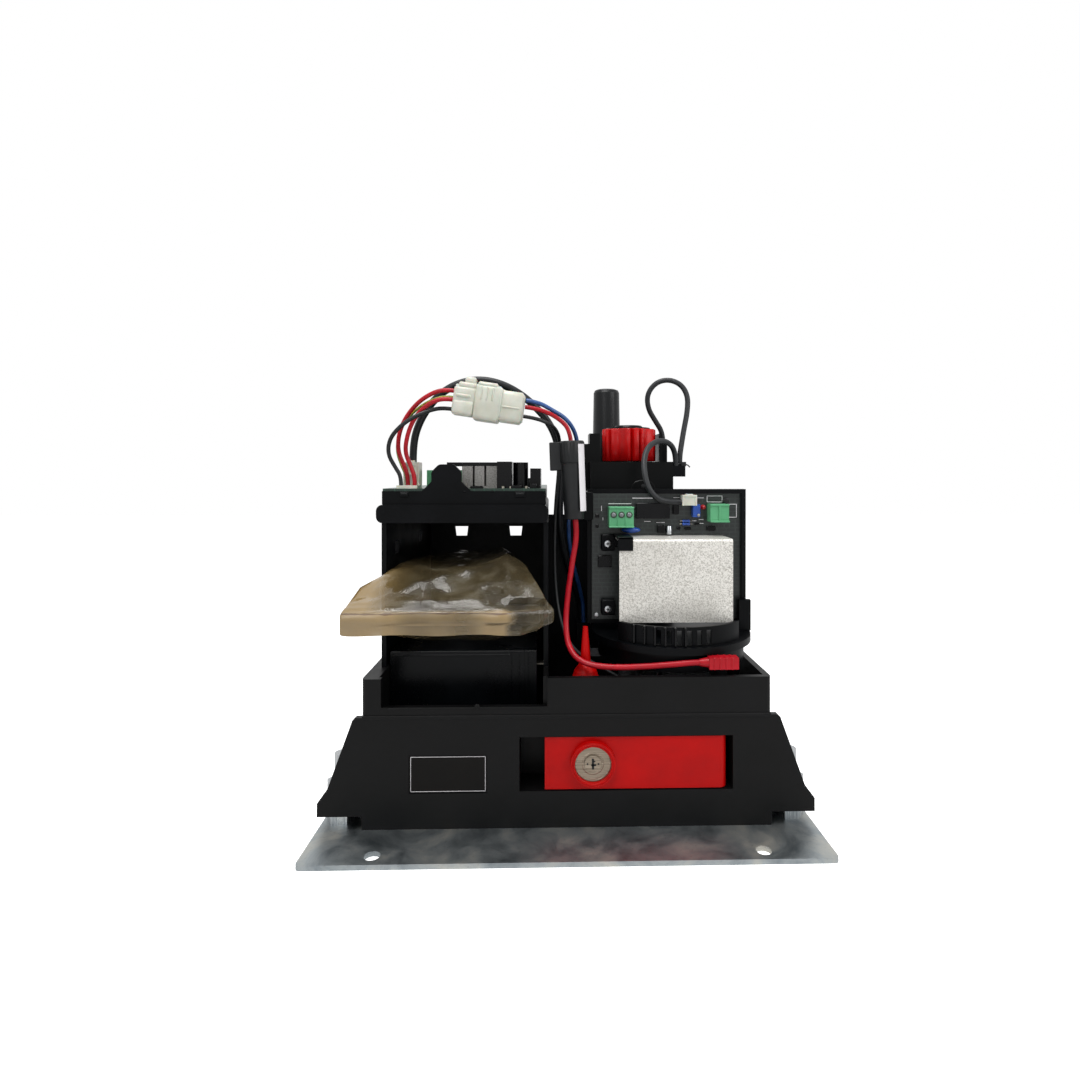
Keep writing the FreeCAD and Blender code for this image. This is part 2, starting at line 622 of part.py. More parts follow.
def make_spring():
    gap = float(cover_front - spring_front) - 2 * float(S.plunger_gap) - float(S.spring_wire)
    helix = Part.makeHelix(gap / float(S.spring_coils), gap, float(S.spring_mean_radius))
    turns = [2 * math.pi * i / S.spring_sides.value for i in range(int(S.spring_sides.value))]
    half = float(S.spring_wire) / 2
    middle = float(S.spring_mean_radius)
    rim = [Vector(middle + half * math.cos(turn), 0, half * math.sin(turn)) for turn in turns]
    coil = Part.Wire(helix.Edges).makePipeShell([Part.makePolygon(rim + rim[:1])], True, True)
    item = node("plunger_spring", feature("plunger_spring_solid", coil))
    start = float(spring_front) + float(S.plunger_gap) + float(S.spring_wire) / 2
    item.Placement = Placement(Vector(float(output_x), start, float(S.output_z)), TURNS["y"])


# ---------------------------------------------------------------- worm gear and output

def make_gearbox():
    axis = (output_x, case_front, S.output_z)
    case_back = wheel_front + S.wheel_face + S.case_gap + S.case_wall
    case_length = case_back - case_front
    drum = rod("case_drum", "y", axis, case_length, case_outer_radius)
    neck_start = S.front_bearing_y
    neck = rod("case_neck", "y", (output_x, neck_start, S.output_z), neck_end - neck_start,
               S.neck_radius)
    tower = rod("case_tower", "z", (S.motor_x, S.motor_y, floor_top), S.head_z - floor_top,
                tower_radius)
    head = block("case_head", (S.cage_left, S.cage_right), (S.cage_front, S.cage_back),
                 (S.head_z, cage_floor))
    saddle = block("case_saddle", (S.motor_x, output_x + case_outer_radius / 2),
                   (case_front, case_back), (floor_top, S.output_z - case_inner_radius))
    outer = fuse("case_outer", [drum, neck, tower, head, saddle])
    wheel_room = rod("wheel_room", "y", axis, case_length - S.case_wall, case_inner_radius)
    worm_room = rod("worm_room", "z", (S.motor_x, S.motor_y, S.worm_bottom),
                    cage_floor - S.worm_bottom, S.worm_bearing_radius)
    seat = rod("neck_bore", "y", (output_x, case_back - S.case_wall, S.output_z),
               neck_end - case_back + S.case_wall, S.bearing_radius)
    node("gearbox_housing", cut("gearbox_housing_solid", outer, [wheel_room, worm_room, seat]))


def make_gearbox_cover():
    blank = rod("cover_blank", "y", (output_x, cover_front, S.output_z), S.cover_thick,
                case_outer_radius)
    hole = rod("cover_hole", "y", (output_x, cover_front, S.output_z), S.cover_thick,
               S.plunger_radius + S.plunger_slack)
    relief = rod("cover_relief_room", "y", (output_x, case_front - S.cover_relief, S.output_z),
                 S.cover_relief, S.wheel_hub_radius + S.case_gap)
    tower = rod("cover_tower_room", "z", (S.motor_x, S.motor_y, floor_top), S.head_z - floor_top,
                tower_radius)
    node("gearbox_cover", cut("gearbox_cover_solid", blank, [hole, relief, tower]))


def ring_of(points, turn, y):
    """Close a wire through (radius, angle) points about the Y axis, all turned by one angle."""
    at = [Vector(-r * math.cos(a + turn), y, r * math.sin(a + turn)) for r, a in points]
    return Part.makePolygon(at + at[:1])


def make_worm_wheel():
    count = round(float(S.wheel_teeth))
    radius = float(wheel_pitch_radius)
    tip = radius + float(S.gear_depth) / 2 - float(S.gear_clearance) / 4
    root = radius - float(S.gear_depth) / 2 - float(S.gear_clearance) / 2
    step = 2 * math.pi / count
    half_tip = (0.19 * float(S.gear_module) * math.pi - float(S.gear_backlash) / 4) / tip
    half_root = (0.31 * float(S.gear_module) * math.pi - float(S.gear_backlash) / 4) / root
    points = []
    for i in range(count):
        middle = (i + 0.5) * step
        points += [(root, middle - half_root), (tip, middle - half_tip),
                   (tip, middle + half_tip), (root, middle + half_root)]
    face = float(S.wheel_face)
    lead = math.pi * float(S.gear_module) / (2 * math.pi * float(S.worm_pitch_radius))
    twist = face * lead / radius
    wires = [ring_of(points, -twist / 2, -face / 2), ring_of(points, twist / 2, face / 2)]
    rim = Part.makeLoft(wires, True, True)
    hub = Part.makeCylinder(float(S.wheel_hub_radius), float(S.wheel_hub_length),
                            Vector(0, -float(S.wheel_hub_length) / 2, 0), Vector(0, 1, 0))
    bore = Part.makeCylinder(float(S.shaft_radius), 2 * float(S.wheel_hub_length),
                             Vector(0, -float(S.wheel_hub_length), 0), Vector(0, 1, 0))
    item = node("worm_wheel", feature("worm_wheel_solid", rim.fuse(hub).cut(bore)))
    item.Placement = Placement(Vector(float(output_x), float(S.motor_y), float(S.output_z)),
                               Rotation())


def make_output_shaft():
    axis = (output_x, S.shaft_start, S.output_z)
    blank = rod("shaft_blank", "y", axis, pinion_start + S.shaft_tail - S.shaft_start, S.shaft_radius)
    bore = rod("shaft_bore", "y", axis, S.shaft_bore_depth, S.shaft_bore_radius)
    seat = key_block("shaft_keyway")
    groove_at = (output_x, pinion_start + S.pinion_face, S.output_z)
    outer = rod("groove_outer", "y", groove_at, S.circlip_thick, S.shaft_radius)
    inner = rod("groove_inner", "y", groove_at, S.circlip_thick, S.shaft_radius - 1)
    groove = cut("circlip_groove", outer, [inner])
    node("output_shaft", cut("output_shaft_solid", blank, [bore, seat, groove]))


def key_block(name):
    middle = pinion_start + S.pinion_face / 2
    return block(name, (output_x - S.key_width / 2, output_x + S.key_width / 2),
                 (middle - S.key_length / 2, middle + S.key_length / 2),
                 (S.output_z + S.shaft_radius - S.key_height / 2,
                  S.output_z + S.shaft_radius + S.key_height / 2))


def make_bearings():
    """Two ball bearings on the output shaft and two on the worm shaft, each as a plain ring."""
    rings = []
    for i, y in enumerate((S.front_bearing_y, back - S.rear_bearing_in)):
        rings.append(bearing("output_%d" % i, "y", (output_x, y, S.output_z), S.bearing_width,
                             S.bearing_radius, S.shaft_radius))
    for i, z in enumerate((S.worm_bottom, S.worm_bearing_top_z)):
        rings.append(bearing("worm_%d" % i, "z", (S.motor_x, S.motor_y, z),
                             S.worm_bearing_width, S.worm_bearing_radius, S.worm_shaft_radius))
    node("ball_bearings", group("ball_bearings_solid", rings))


def bearing(name, axis, start, width, radius, shaft_radius):
    outer = rod(name + "_ring", axis, start, width, radius)
    inner = rod(name + "_ring_bore", axis, start, width, shaft_radius + S.running_gap)
    return cut(name + "_bearing", outer, [inner])


def make_pinion():
    """Spur pinion for the gate rack, drawn about its own origin and then laid along Y."""
    body = new_body("drive_pinion")
    pitch_radius = S.pinion_module * S.pinion_teeth / 2
    root_radius = pitch_radius - S.tooth_dedendum * S.pinion_module
    pad(body, "pinion_hub", "XY_Plane", 0, S.pinion_face,
        circles=[((0, 0), root_radius)])
    quarter = S.pinion_module * (math.pi / 4)
    low = root_radius - S.tooth_sink
    high = pitch_radius + S.pinion_module
    right = [(S.tooth_root_share * quarter, low), (quarter, pitch_radius),
             (S.tooth_tip_share * quarter, high)]
    tooth = right + [(-x, y) for x, y in reversed(right)]
    first = pad(body, "pinion_tooth", "XY_Plane", 0, S.pinion_face, [tooth])
    around(body, "pinion_teeth", first, S.pinion_teeth, "Z_Axis")
    pocket(body, "pinion_bore", "XY_Plane", S.pinion_face, S.pinion_face,
           circles=[((0, 0), S.shaft_radius)])
    keyway = corners((-S.key_width / 2, S.key_width / 2),
                     (0, S.shaft_radius + S.key_height / 2))
    pocket(body, "pinion_keyway", "XY_Plane", S.pinion_face, S.pinion_face, [keyway])
    turn_about_y(body, output_x, pinion_start, S.output_z)


def turn_about_y(item, x, y, z):
    item.Placement = Placement(Vector(), Rotation(Vector(1, 0, 0), 90))
    place(item, x, y + S.pinion_face, z)


def make_circlip():
    at = (output_x, pinion_start + S.pinion_face, S.output_z)
    outer = rod("circlip_outer", "y", at, S.circlip_thick, S.shaft_radius + S.circlip_stand)
    inner = rod("circlip_inner", "y", at, S.circlip_thick, S.shaft_radius - 1)
    gap = block("circlip_gap", (output_x - S.circlip_stand, output_x + S.circlip_stand),
                (at[1], at[1] + S.circlip_thick),
                (S.output_z - S.shaft_radius - S.circlip_stand, S.output_z))
    node("pinion_circlip", cut("pinion_circlip_solid", outer, [inner, gap]))


# ---------------------------------------------------------------- worm, motor and cage

def make_worm_shaft():
    """Right-handed single-start worm on the motor shaft, thread centred on the wheel's height."""
    pitch = math.pi * float(S.gear_module)
    radius = float(S.worm_pitch_radius)
    tip = radius + float(S.gear_depth) / 2 + float(S.gear_clearance) / 4
    root = radius - float(S.gear_depth) / 2 - float(S.gear_clearance) / 2
    length = pitch * round(float(S.worm_length) / pitch)
    start_z = float(S.output_z) - length / 2
    half_tip = 0.17 * pitch - float(S.gear_backlash) / 4
    half_root = 0.30 * pitch - float(S.gear_backlash) / 4
    helix = Part.makeHelix(pitch, length, root)
    bite = 0.3
    corner_points = [Vector(root - bite, 0, -half_root), Vector(tip, 0, -half_tip),
                     Vector(tip, 0, half_tip), Vector(root - bite, 0, half_root)]
    profile = Part.makePolygon(corner_points + corner_points[:1])
    thread = Part.Wire(helix.Edges).makePipeShell([profile], True, True)
    thread.translate(Vector(0, 0, start_z))
    core = Part.makeCylinder(root, length + 2 * pitch, Vector(0, 0, start_z - pitch))
    low = float(S.worm_bottom)
    top = float(S.cage_top + S.drum_gap)
    shaft = Part.makeCylinder(float(S.worm_shaft_radius), top - low, Vector(0, 0, low))
    solid = core.fuse([thread, shaft])
    item = node("worm_shaft", feature("worm_shaft_solid", solid))
    item.Placement = Placement(Vector(float(S.motor_x), float(S.motor_y), 0), Rotation())


def make_motor():
    at = (S.motor_x, S.motor_y, cage_floor)
    inside = S.can_radius - S.can_wall
    shell = rod("can_blank", "z", at, S.can_height, S.can_radius)
    room = rod("can_room", "z", at, S.can_height - S.can_wall, inside)
    hole = rod("can_hole", "z", at, S.can_height, S.worm_shaft_radius + S.running_gap)
    node("motor_can", cut("motor_can_solid", shell, [room, hole]))
    magnet_in = inside - S.magnet_thick
    low = cage_floor + S.armature_lift
    shells = []
    for i, start in enumerate((90, 270)):
        outer = rod("magnet_outer_%d" % i, "z", (S.motor_x, S.motor_y, low),
                    S.armature_length, inside)
        outer.Angle = float(S.magnet_angle)
        outer.Placement = Placement(Vector(float(S.motor_x), float(S.motor_y), float(low)),
                                    Rotation(Vector(0, 0, 1), start - float(S.magnet_angle) / 2))
        inner = rod("magnet_inner_%d" % i, "z", (S.motor_x, S.motor_y, low),
                    S.armature_length, magnet_in)
        shells.append(cut("magnet_%d" % i, outer, [inner]))
    node("motor_magnets", group("motor_magnets_solid", shells))
    core = rod("armature_core", "z", (S.motor_x, S.motor_y, low), S.armature_length,
               magnet_in - S.magnet_gap)
    bore = rod("armature_bore", "z", (S.motor_x, S.motor_y, low), S.armature_length,
               S.worm_shaft_radius)
    node("armature", cut("armature_solid", core, [bore]))


def make_motor_housing():
    wall = S.cage_wall
    outer = block("cage_outer", (S.cage_left, S.cage_right), (S.cage_front, S.cage_back),
                  (cage_floor, S.cage_top))
    room = block("cage_room", (S.cage_left + wall, S.cage_right - wall),
                 (S.cage_front + wall, S.cage_back - wall), (cage_floor, S.cage_top - wall))
    shaft_hole = rod("cage_shaft_hole", "z", (S.motor_x, S.motor_y, cage_floor),
                     S.cage_top - cage_floor, S.worm_shaft_radius + 2 * wall)
    shell = cut("cage_shell", outer, [room, shaft_hole])
    drum_left = S.motor_x - S.drum_radius - 2 * S.drum_gap
    cheek_top = S.cage_top + S.cheek_height
    depth = (S.motor_y - S.cheek_width / 2, S.motor_y + S.cheek_width / 2)
    left = block("left_cheek", (drum_left - S.left_cheek_thick, drum_left), depth,
                 (S.cage_top, cheek_top))
    arm = block("left_arm", (S.cage_left - S.left_cheek_out, drum_left - S.left_cheek_thick),
                depth, (S.cage_top - S.cheek_height, cheek_top - S.left_cheek_thick))
    drum_right = S.motor_x + S.drum_radius + 2 * S.drum_gap
    right = block("right_cheek", (drum_right, drum_right + S.right_cheek_thick), depth,
                  (S.cage_top, cheek_top))
    arm_cut = block("arm_clear", (S.cage_left + wall, drum_left), depth,
                    (S.cage_top - S.cheek_height, S.cage_top - wall))
    trimmed = cut("left_arm_trim", arm, [arm_cut])
    node("motor_housing", fuse("motor_housing_solid", [shell, left, trimmed, right]))


def make_encoder_drum():
    """Red fluted cap on the rotor shaft; it turns with the motor."""
    body = new_body("encoder_drum")
    pad(body, "drum_blank", "XY_Plane", 0, S.drum_height,
        circles=[((0, 0), S.drum_radius)])
    flute = pocket(body, "drum_flute", "XY_Plane", S.drum_height, S.drum_height,
                   circles=[((S.drum_radius + S.drum_flute_radius / 3, 0),
                             S.drum_flute_radius)])
    around(body, "drum_flutes_all", flute, S.drum_flutes, "Z_Axis")
    pad(body, "drum_cap", "XY_Plane", S.drum_height, S.drum_cap_height,
        circles=[((0, 0), S.drum_cap_radius)])
    place(body, S.motor_x, S.motor_y, S.cage_top + S.drum_gap)


def make_cover_post():
    body = new_body("cover_post")
    foot = S.post_radius
    top = S.post_radius - S.post_draft
    profile = [(0, 0), (foot, 0), (top, S.post_height - S.post_round),
               (top - S.post_round * 0.3, S.post_height - S.post_round * 0.3),
               (top - S.post_round, S.post_height), (0, S.post_height)]
    turned(body, "post_turn", profile)
    place(body, S.post_x, S.post_y, S.cage_top)


# ---------------------------------------------------------------- battery and bay

def make_battery():
    lid_start = battery_right - S.battery_lid
    depth = (-S.battery_front, battery_back)
    height = (S.shelf_top, S.shelf_top + S.battery_height)
    case = block("battery_case_blank", (-S.battery_left, lid_start), depth, height)
    lid = block("battery_lid_blank", (lid_start, battery_right), depth, height)
    case = rounded("battery_case_round", case, S.battery_round, lengthwise)
    lid = rounded("battery_lid_round", lid, S.battery_round, lengthwise)
    groove_x = lid_start + S.battery_lid / 2
    grooves = [block("lid_groove_%d" % i, (groove_x, groove_x + S.battery_groove), ys, height)
               for i, ys in enumerate(((depth[0], depth[0] + S.battery_groove),
                                       (depth[1] - S.battery_groove, depth[1])))]
    node("battery_case", case)
    node("battery_lid", cut("battery_lid_solid", lid, grooves))
    tabs = [block("battery_tab_%d" % i, (battery_right, battery_right + S.tab_reach),
                  (y - S.tab_width / 2, y + S.tab_width / 2), (S.tab_z, S.tab_z + S.tab_thick))
            for i, y in enumerate((-S.tab_front_y, S.tab_rear_y))]
    node("battery_terminals", group("battery_terminals_solid", tabs))


def make_bay_frame():
    body = new_body("bay_frame")
    low, high = S.chassis_top, S.bay_top
    right = divider_right
    plan = [(-S.bay_left, -S.bay_front), (S.bay_wall - S.bay_left, -S.bay_front),
            (S.bay_wall - S.bay_left, bay_back - S.bay_wall),
            (divider_left, bay_back - S.bay_wall), (divider_left, -S.bay_front),
            (right, -S.bay_front), (right, S.spine_y), (S.spine_right, S.spine_y),
            (S.spine_right, S.spine_y + S.spine_thick), (right, S.spine_y + S.spine_thick),
            (right, bay_back), (-S.bay_left, bay_back)]
    pad(body, "bay_walls", "XY_Plane", low, high - low, [plan])
    windows = []
    for i in range(2):
        left = i * S.window_pitch - S.window_left
        wide = left + S.window_width
        windows.append([(left + S.window_taper, S.window_bottom),
                        (wide - S.window_taper, S.window_bottom),
                        (wide, S.window_bottom + S.window_height),
                        (left, S.window_bottom + S.window_height)])
    pocket(body, "see_through_windows", "XZ_Plane", -(bay_back - S.bay_wall), S.bay_wall,
           windows)
    clip = [(y - S.window_width / 2, y + S.window_width / 2) for y in (-S.bay_front * 0.5, bay_back * 0.5)]
    slots = [corners(ys, (S.window_bottom, S.window_bottom + S.window_height)) for ys in clip]
    pocket(body, "side_clip_slots", "YZ_Plane", S.bay_wall - S.bay_left, S.bay_wall, slots)


def make_controller_tray():
    body = new_body("controller_tray")
    plan = corners((-S.tray_left, -S.tray_right), (-S.tray_front, tray_back))
    pad(body, "tray_block", "XY_Plane", S.bay_top, S.tray_height, [plan])
    fillet(body, "tray_ends", S.tray_round,
           lambda e: e.BoundBox.XLength < 0.01 and e.BoundBox.ZLength < 0.01)
    room = corners((-S.tray_left + S.tray_wall + S.tray_round, -S.tray_right - S.tray_wall - S.tray_round),
                   (-S.tray_front + S.tray_wall, tray_back - S.tray_wall))
    pocket(body, "tray_hollow", "XY_Plane", tray_top, S.tray_height - S.tray_wall, [room])


def housing_xs():
    return (-S.tray_left + S.housing_inset, -S.tray_right - S.housing_right_inset)


def make_controller_base():
    body = new_body("controller_base")
    xs = housing_xs()
    ys = (-S.tray_front + S.housing_inset, tray_back - S.housing_inset)
    wall = S.housing_wall
    pad(body, "base_block", "XY_Plane", tray_top, S.housing_height, [corners(xs, ys)])
    inner = corners((xs[0] + wall, xs[1] - wall), (ys[0] + wall, ys[1] - wall))
    pocket(body, "base_hollow", "XY_Plane", housing_top, S.housing_height - wall, [inner])
    left = -S.hump_left
    right = left + S.hump_width
    top = housing_top + S.hump_height
    shoulder = S.hump_width / 4
    hump = [(left - S.hump_flare, housing_top - wall), (left - S.hump_flare, housing_top),
            (left, housing_top + S.hump_flare), (left, top - shoulder), (left + shoulder, top),
            (right - shoulder, top), (right, top - shoulder),
            (right, housing_top + S.hump_flare), (right + S.hump_flare, housing_top),
            (right + S.hump_flare, housing_top - wall)]
    pad(body, "hump", "XZ_Plane", -(ys[0] + wall), wall, [hump])
    xa, xb, high = float(left), float(right), float(top)
    fillet(body, "hump_round", shoulder * 0.8,
           lambda e: e.BoundBox.XLength < 0.01 and e.BoundBox.ZLength < 0.01
           and e.CenterOfMass.z > high - float(shoulder) - 0.1)


def make_controller_parts():
    xs = housing_xs()
    wall = S.housing_wall
    ys = (-S.tray_front + S.housing_inset + wall, tray_back - S.housing_inset)
    card = block("controller_card", (xs[0], xs[1]), ys, (housing_top, board_top))
    node("controller_board", card)
    sink_y = -S.sink_y
    left = -S.sink_left
    sink_zs = (board_top, board_top + S.sink_height)
    sink = block("sink_blank", (left, left + S.sink_width), (sink_y, sink_y + S.sink_depth), sink_zs)
    slots = []
    for i in (1, 2):
        x = left + i * S.sink_width / 3
        slots.append(block("sink_slot_%d" % i, (x - S.sink_slot / 2, x + S.sink_slot / 2),
                           (sink_y, sink_y + S.sink_depth / 2),
                           (board_top + S.sink_slot, sink_zs[1])))
    node("controller_heatsink", cut("controller_heatsink_solid", sink, slots))
    relay_x = -S.relay_left
    relay_y = (sink_y - S.relay_depth / 4, sink_y + S.relay_depth)
    relay = block("relay_box", (relay_x, relay_x + S.relay_width), relay_y,
                  (board_top, board_top + S.relay_height))
    bar = block("relay_bar", (-S.sink_bar_left, S.sink_bar_width - S.sink_bar_left),
                (sink_y, sink_y + S.sink_depth),
                (sink_zs[1], sink_zs[1] + S.sink_bar_height))
    can = rod("capacitor_can", "z", (-S.capacitor_x, sink_y + S.capacitor_radius, board_top),
              S.capacitor_height, S.capacitor_radius)
    tail_x = -S.tail_block_left
    tail = block("tail_block", (tail_x, tail_x + S.tail_block_width),
                 (sink_y, sink_y + 2 * S.relay_depth), (board_top, board_top + S.tail_block_height))
    node("controller_relays", group("controller_relays_solid", [relay, bar, can, tail]))


def make_controller_header():
    ys = (-S.tray_front + S.housing_inset + S.housing_wall, -S.header_y)
    head_x = -S.header_left
    tall = block("header_tall", (head_x, head_x + S.header_width),
                 (-S.header_y, S.header_depth - S.header_y),
                 (board_top, board_top + S.header_height))
    low = block("header_low", (-S.landing_left, S.landing_width - S.landing_left),
                (ys[0] + S.landing_inset, -S.header_y),
                (board_top, board_top + S.landing_height))
    return fuse("controller_header", [tall, low])


def make_connectors():
    """Green screw terminals and white headers of both circuit boards."""
    half = S.socket_width / 2
    rise = S.socket_height_z / 2
    white = block("card_socket", (S.socket_x - half, S.socket_x + half),
                  (card_face - S.socket_depth, card_face), (S.socket_z - rise, S.socket_z + rise))
    node("white_headers", group("white_headers_solid", [make_controller_header(), white]))
    strips = [block("screw_strip", (-S.screw_strip_left, S.screw_strip_width - S.screw_strip_left),
                    (-S.screw_strip_y, S.screw_strip_depth - S.screw_strip_y),
                    (board_top, board_top + S.screw_strip_height)),
              block("card_strip", (S.strip_left, S.strip_left + S.strip_width),
                    (card_face - S.strip_depth, card_face),
                    (S.strip_bottom, S.strip_bottom + S.strip_height)),
              block("card_outlet", (S.outlet_left, S.outlet_left + S.outlet_width),
                    (card_face - S.outlet_depth, card_face),
                    (S.outlet_bottom, S.outlet_bottom + S.outlet_height))]
    node("screw_terminals", group("screw_terminals_solid", strips))


# ---------------------------------------------------------------- charger group

def make_charger_base():
    """Round vented base under the charger card, flat at the back where the motor cage stands."""
    centre = (S.drum_base_x, drum_base_y, S.chassis_top)
    drum = rod("drum_base", "z", centre, S.drum_base_top - S.chassis_top, S.drum_base_radius)
    lip = rod("drum_lip", "z", (centre[0], centre[1], S.drum_base_top), S.lip_height, S.lip_radius)
    top = lip_top + S.grille_height
    wall = rod("grille_outer", "z", (centre[0], centre[1], lip_top), S.grille_height,
               S.grille_radius)
    room = rod("grille_inner", "z", (centre[0], centre[1], lip_top), S.grille_height,
               S.grille_radius - S.grille_wall)
    count = round(float(S.grille_slots))
    slots = []
    for i in range(count):
        x = S.drum_base_x + (i - (count - 1) / 2) * S.grille_pitch
        slots.append(block("grille_slot_%d" % i, (x - S.grille_slot / 2, x + S.grille_slot / 2),
                           (drum_base_y - S.lip_radius, drum_base_y),
                           (lip_top + S.grille_wall / 2, top - S.grille_wall)))
    grille = cut("grille_ring", wall, [room] + slots)
    reach = S.lip_radius + S.grille_wall
    back_cut = block("base_back_cut", (S.drum_base_x - reach, S.drum_base_x + reach),
                     (S.cage_front - S.drum_base_cut, S.drum_base_x + reach),
                     (S.chassis_top, top))
    ear_right = S.drum_base_x + S.lip_radius
    ear = block("base_ear", (ear_right - S.base_ear_width, ear_right),
                (rim_front - 2 * S.grille_wall, rim_front),
                (lip_top, lip_top + S.base_ear_height))
    legs = [rod("base_leg_%d" % i, "z", (x, -S.base_leg_y, floor_top),
                S.chassis_top - floor_top, S.base_leg_radius)
            for i, x in enumerate((S.base_leg_left, S.base_leg_right))]
    grille_cut = block("grille_back_cut", (S.drum_base_x - reach, S.drum_base_x + reach),
                       (-S.grille_back, S.drum_base_x + reach), (lip_top, top))
    bodywork = cut("base_trim", fuse("base_outer", [drum, lip, grille]), [back_cut, grille_cut])
    flag_x = S.boot_left + S.boot_length / 2
    flag_z = S.boot_bottom + S.boot_height / 2
    flag = block("base_flag", (flag_x - S.flag_width / 2, flag_x + S.flag_width / 2),
                 (S.boot_depth - S.boot_y, drum_base_y),
                 (flag_z - S.flag_thick / 2, flag_z + S.flag_thick / 2))
    node("charger_base", fuse("charger_base_solid", [bodywork, ear, flag] + legs))


def make_charger_card():
    rim = S.bracket_rim
    outer_x = (S.card_left - rim, S.card_right + rim)
    outer_z = (S.card_bottom - rim, S.card_top + rim)
    plate_y = (bracket_face, bracket_face + S.bracket_thick)
    sheet_plate = block("bracket_plate", outer_x, plate_y, outer_z)
    frame_y = (rim_front, bracket_face)
    right_rim = block("bracket_right_rim", (S.card_right, outer_x[1]), frame_y, outer_z)
    top_rim = block("bracket_top_rim", (S.card_right - S.card_right / 2, outer_x[1]), frame_y,
                    (S.card_top, outer_z[1]))
    middle = (S.cage_left + S.cage_right) / 2
    stay = block("bracket_stay", (middle - S.bracket_stay_width, middle + S.bracket_stay_width),
                 (plate_y[1], S.cage_front),
                 (S.bracket_stay_z, S.bracket_stay_z + S.bracket_stay_width))
    node("charger_bracket", fuse("charger_bracket_solid", [sheet_plate, right_rim, top_rim, stay]))
    node("charger_board", block("charger_board_solid", (S.card_left, S.card_right),
                                (card_face, bracket_face), (S.card_bottom, S.card_top)))


def make_charger_heatsink():
    """Folded aluminium sheet: front face, top flange back to the card, clipped top-left corner."""
    body = new_body("charger_heatsink")
    face = -S.fin_front
    side = [(face, S.fin_bottom), (face, S.fin_top), (card_face, S.fin_top),
            (card_face, S.fin_top - S.fin_thick), (face + S.fin_thick, S.fin_top - S.fin_thick),
            (face + S.fin_thick, S.fin_bottom)]
    pad(body, "folded_sheet", "YZ_Plane", S.fin_left, S.fin_right - S.fin_left, [side])
    face_y, top_z = float(face), float(S.fin_top)
    fillet(body, "fold", S.fin_bend,
           lambda e: e.BoundBox.XLength > 1 and abs(e.CenterOfMass.y - face_y) < 0.01
           and abs(e.CenterOfMass.z - top_z) < 0.01)
    clip = corners((S.fin_left, S.fin_left + S.fin_notch_width),
                   (S.fin_top - S.fin_notch_height, S.fin_top))
    pocket(body, "corner_clip", "XZ_Plane", -face, S.fin_thick * 4, [clip])


# ---------------------------------------------------------------- harness pieces

def make_harness_joint():
    """Mated pair of crimp housings; drawn along X about their meeting plane, then tilted."""
    half = S.joint_depth / 2
    tall = S.plug_height / 2
    plug = fuse("harness_plug_solid", [
        block("plug_core", (-S.plug_length, 0), (-half, half), (-tall, tall)),
        block("plug_latch", (-S.plug_length * 0.75, -S.plug_length * 0.2),
              (-half / 2, half / 2), (tall, tall + S.latch_height))])
    wide = half + S.skirt_stand
    short = S.socket_height / 2
    shell = fuse("harness_socket_solid", [
        block("socket_skirt", (0, S.skirt_length), (-wide, wide),
              (-tall - S.skirt_stand, tall + S.skirt_stand)),
        block("socket_core", (S.skirt_length, S.socket_length), (-half, half), (-short, short))])
    for item, label in ((plug, "harness_plug"), (shell, "harness_socket")):
        item.Placement = Placement(Vector(), Rotation(Vector(0, 1, 0), float(S.joint_tilt)))
        place(item, -S.joint_x, -S.joint_y, S.joint_z)
        node(label, item)


def make_fuse_holder():
    body = new_body("fuse_holder")
    seam = S.fuse_length - S.fuse_cap_length
    profile = [(0, 0), (S.fuse_tip_radius, 0), (S.fuse_body_radius, seam),
               (S.fuse_cap_radius, seam), (S.fuse_cap_radius, S.fuse_length),
               (0, S.fuse_length)]
    turned(body, "fuse_turn", profile)
    lug = corners((-S.fuse_lug_out, -S.fuse_body_radius / 2),
                  (-S.fuse_lug_width / 2, S.fuse_lug_width / 2))
    pad(body, "fuse_lug", "XY_Plane", S.fuse_length - S.fuse_lug_length, S.fuse_lug_length, [lug])
    body.Placement = Placement(Vector(), Rotation(Vector(0, 1, 0), -float(S.fuse_tilt)))
    place(body, S.fuse_x, -S.fuse_y, S.fuse_z)


def make_breather():
    body = new_body("breather_cap")
    shoulder = S.breather_skirt + S.breather_dome
    tip = S.breather_skirt + S.breather_dome + S.breather_spout
    wide = S.breather_radius
    profile = [(0, 0), (wide, 0), (wide, S.breather_skirt),
               (wide * 0.87, S.breather_skirt + S.breather_dome * 0.5),
               (wide * 0.6, shoulder * 0.97), (S.spout_radius, shoulder + S.breather_dome * 0.2),
               (S.spout_tip_radius, tip), (0, tip)]
    turned(body, "breather_turn", profile)
    place(body, S.breather_x, -S.breather_y, S.breather_z)


def make_boot():
    xs = (S.boot_left, S.boot_left + S.boot_length)
    node("red_terminal_boot", block("red_boot_solid", xs, (-S.boot_y, S.boot_depth - S.boot_y),
                                    (S.boot_bottom, S.boot_bottom + S.boot_height)))


def make_cable_fittings():
    """Strain relief on the left of the motor cage, drum sensor and cable clip on its right."""
    gland = block("gland", (S.cage_left - S.gland_width, S.cage_left),
                  (S.gland_front, S.gland_front + S.gland_depth),
                  (S.gland_bottom, S.gland_bottom + S.gland_height))
    sensor_left = S.motor_x + S.drum_radius + 2 * S.drum_gap + S.right_cheek_thick
    sensor = block("sensor", (sensor_left, S.cage_right),
                   (S.sensor_front, S.sensor_front + S.sensor_depth),
                   (S.cage_top, S.cage_top + S.sensor_height))
    clip = block("clip", (S.cage_right, S.cage_right + S.clip_width),
                 (S.cage_front, S.cage_front + S.clip_depth),
                 (S.clip_bottom, S.clip_bottom + S.clip_height))
    node("cable_fittings", group("cable_fittings_solid", [gland, sensor, clip]))


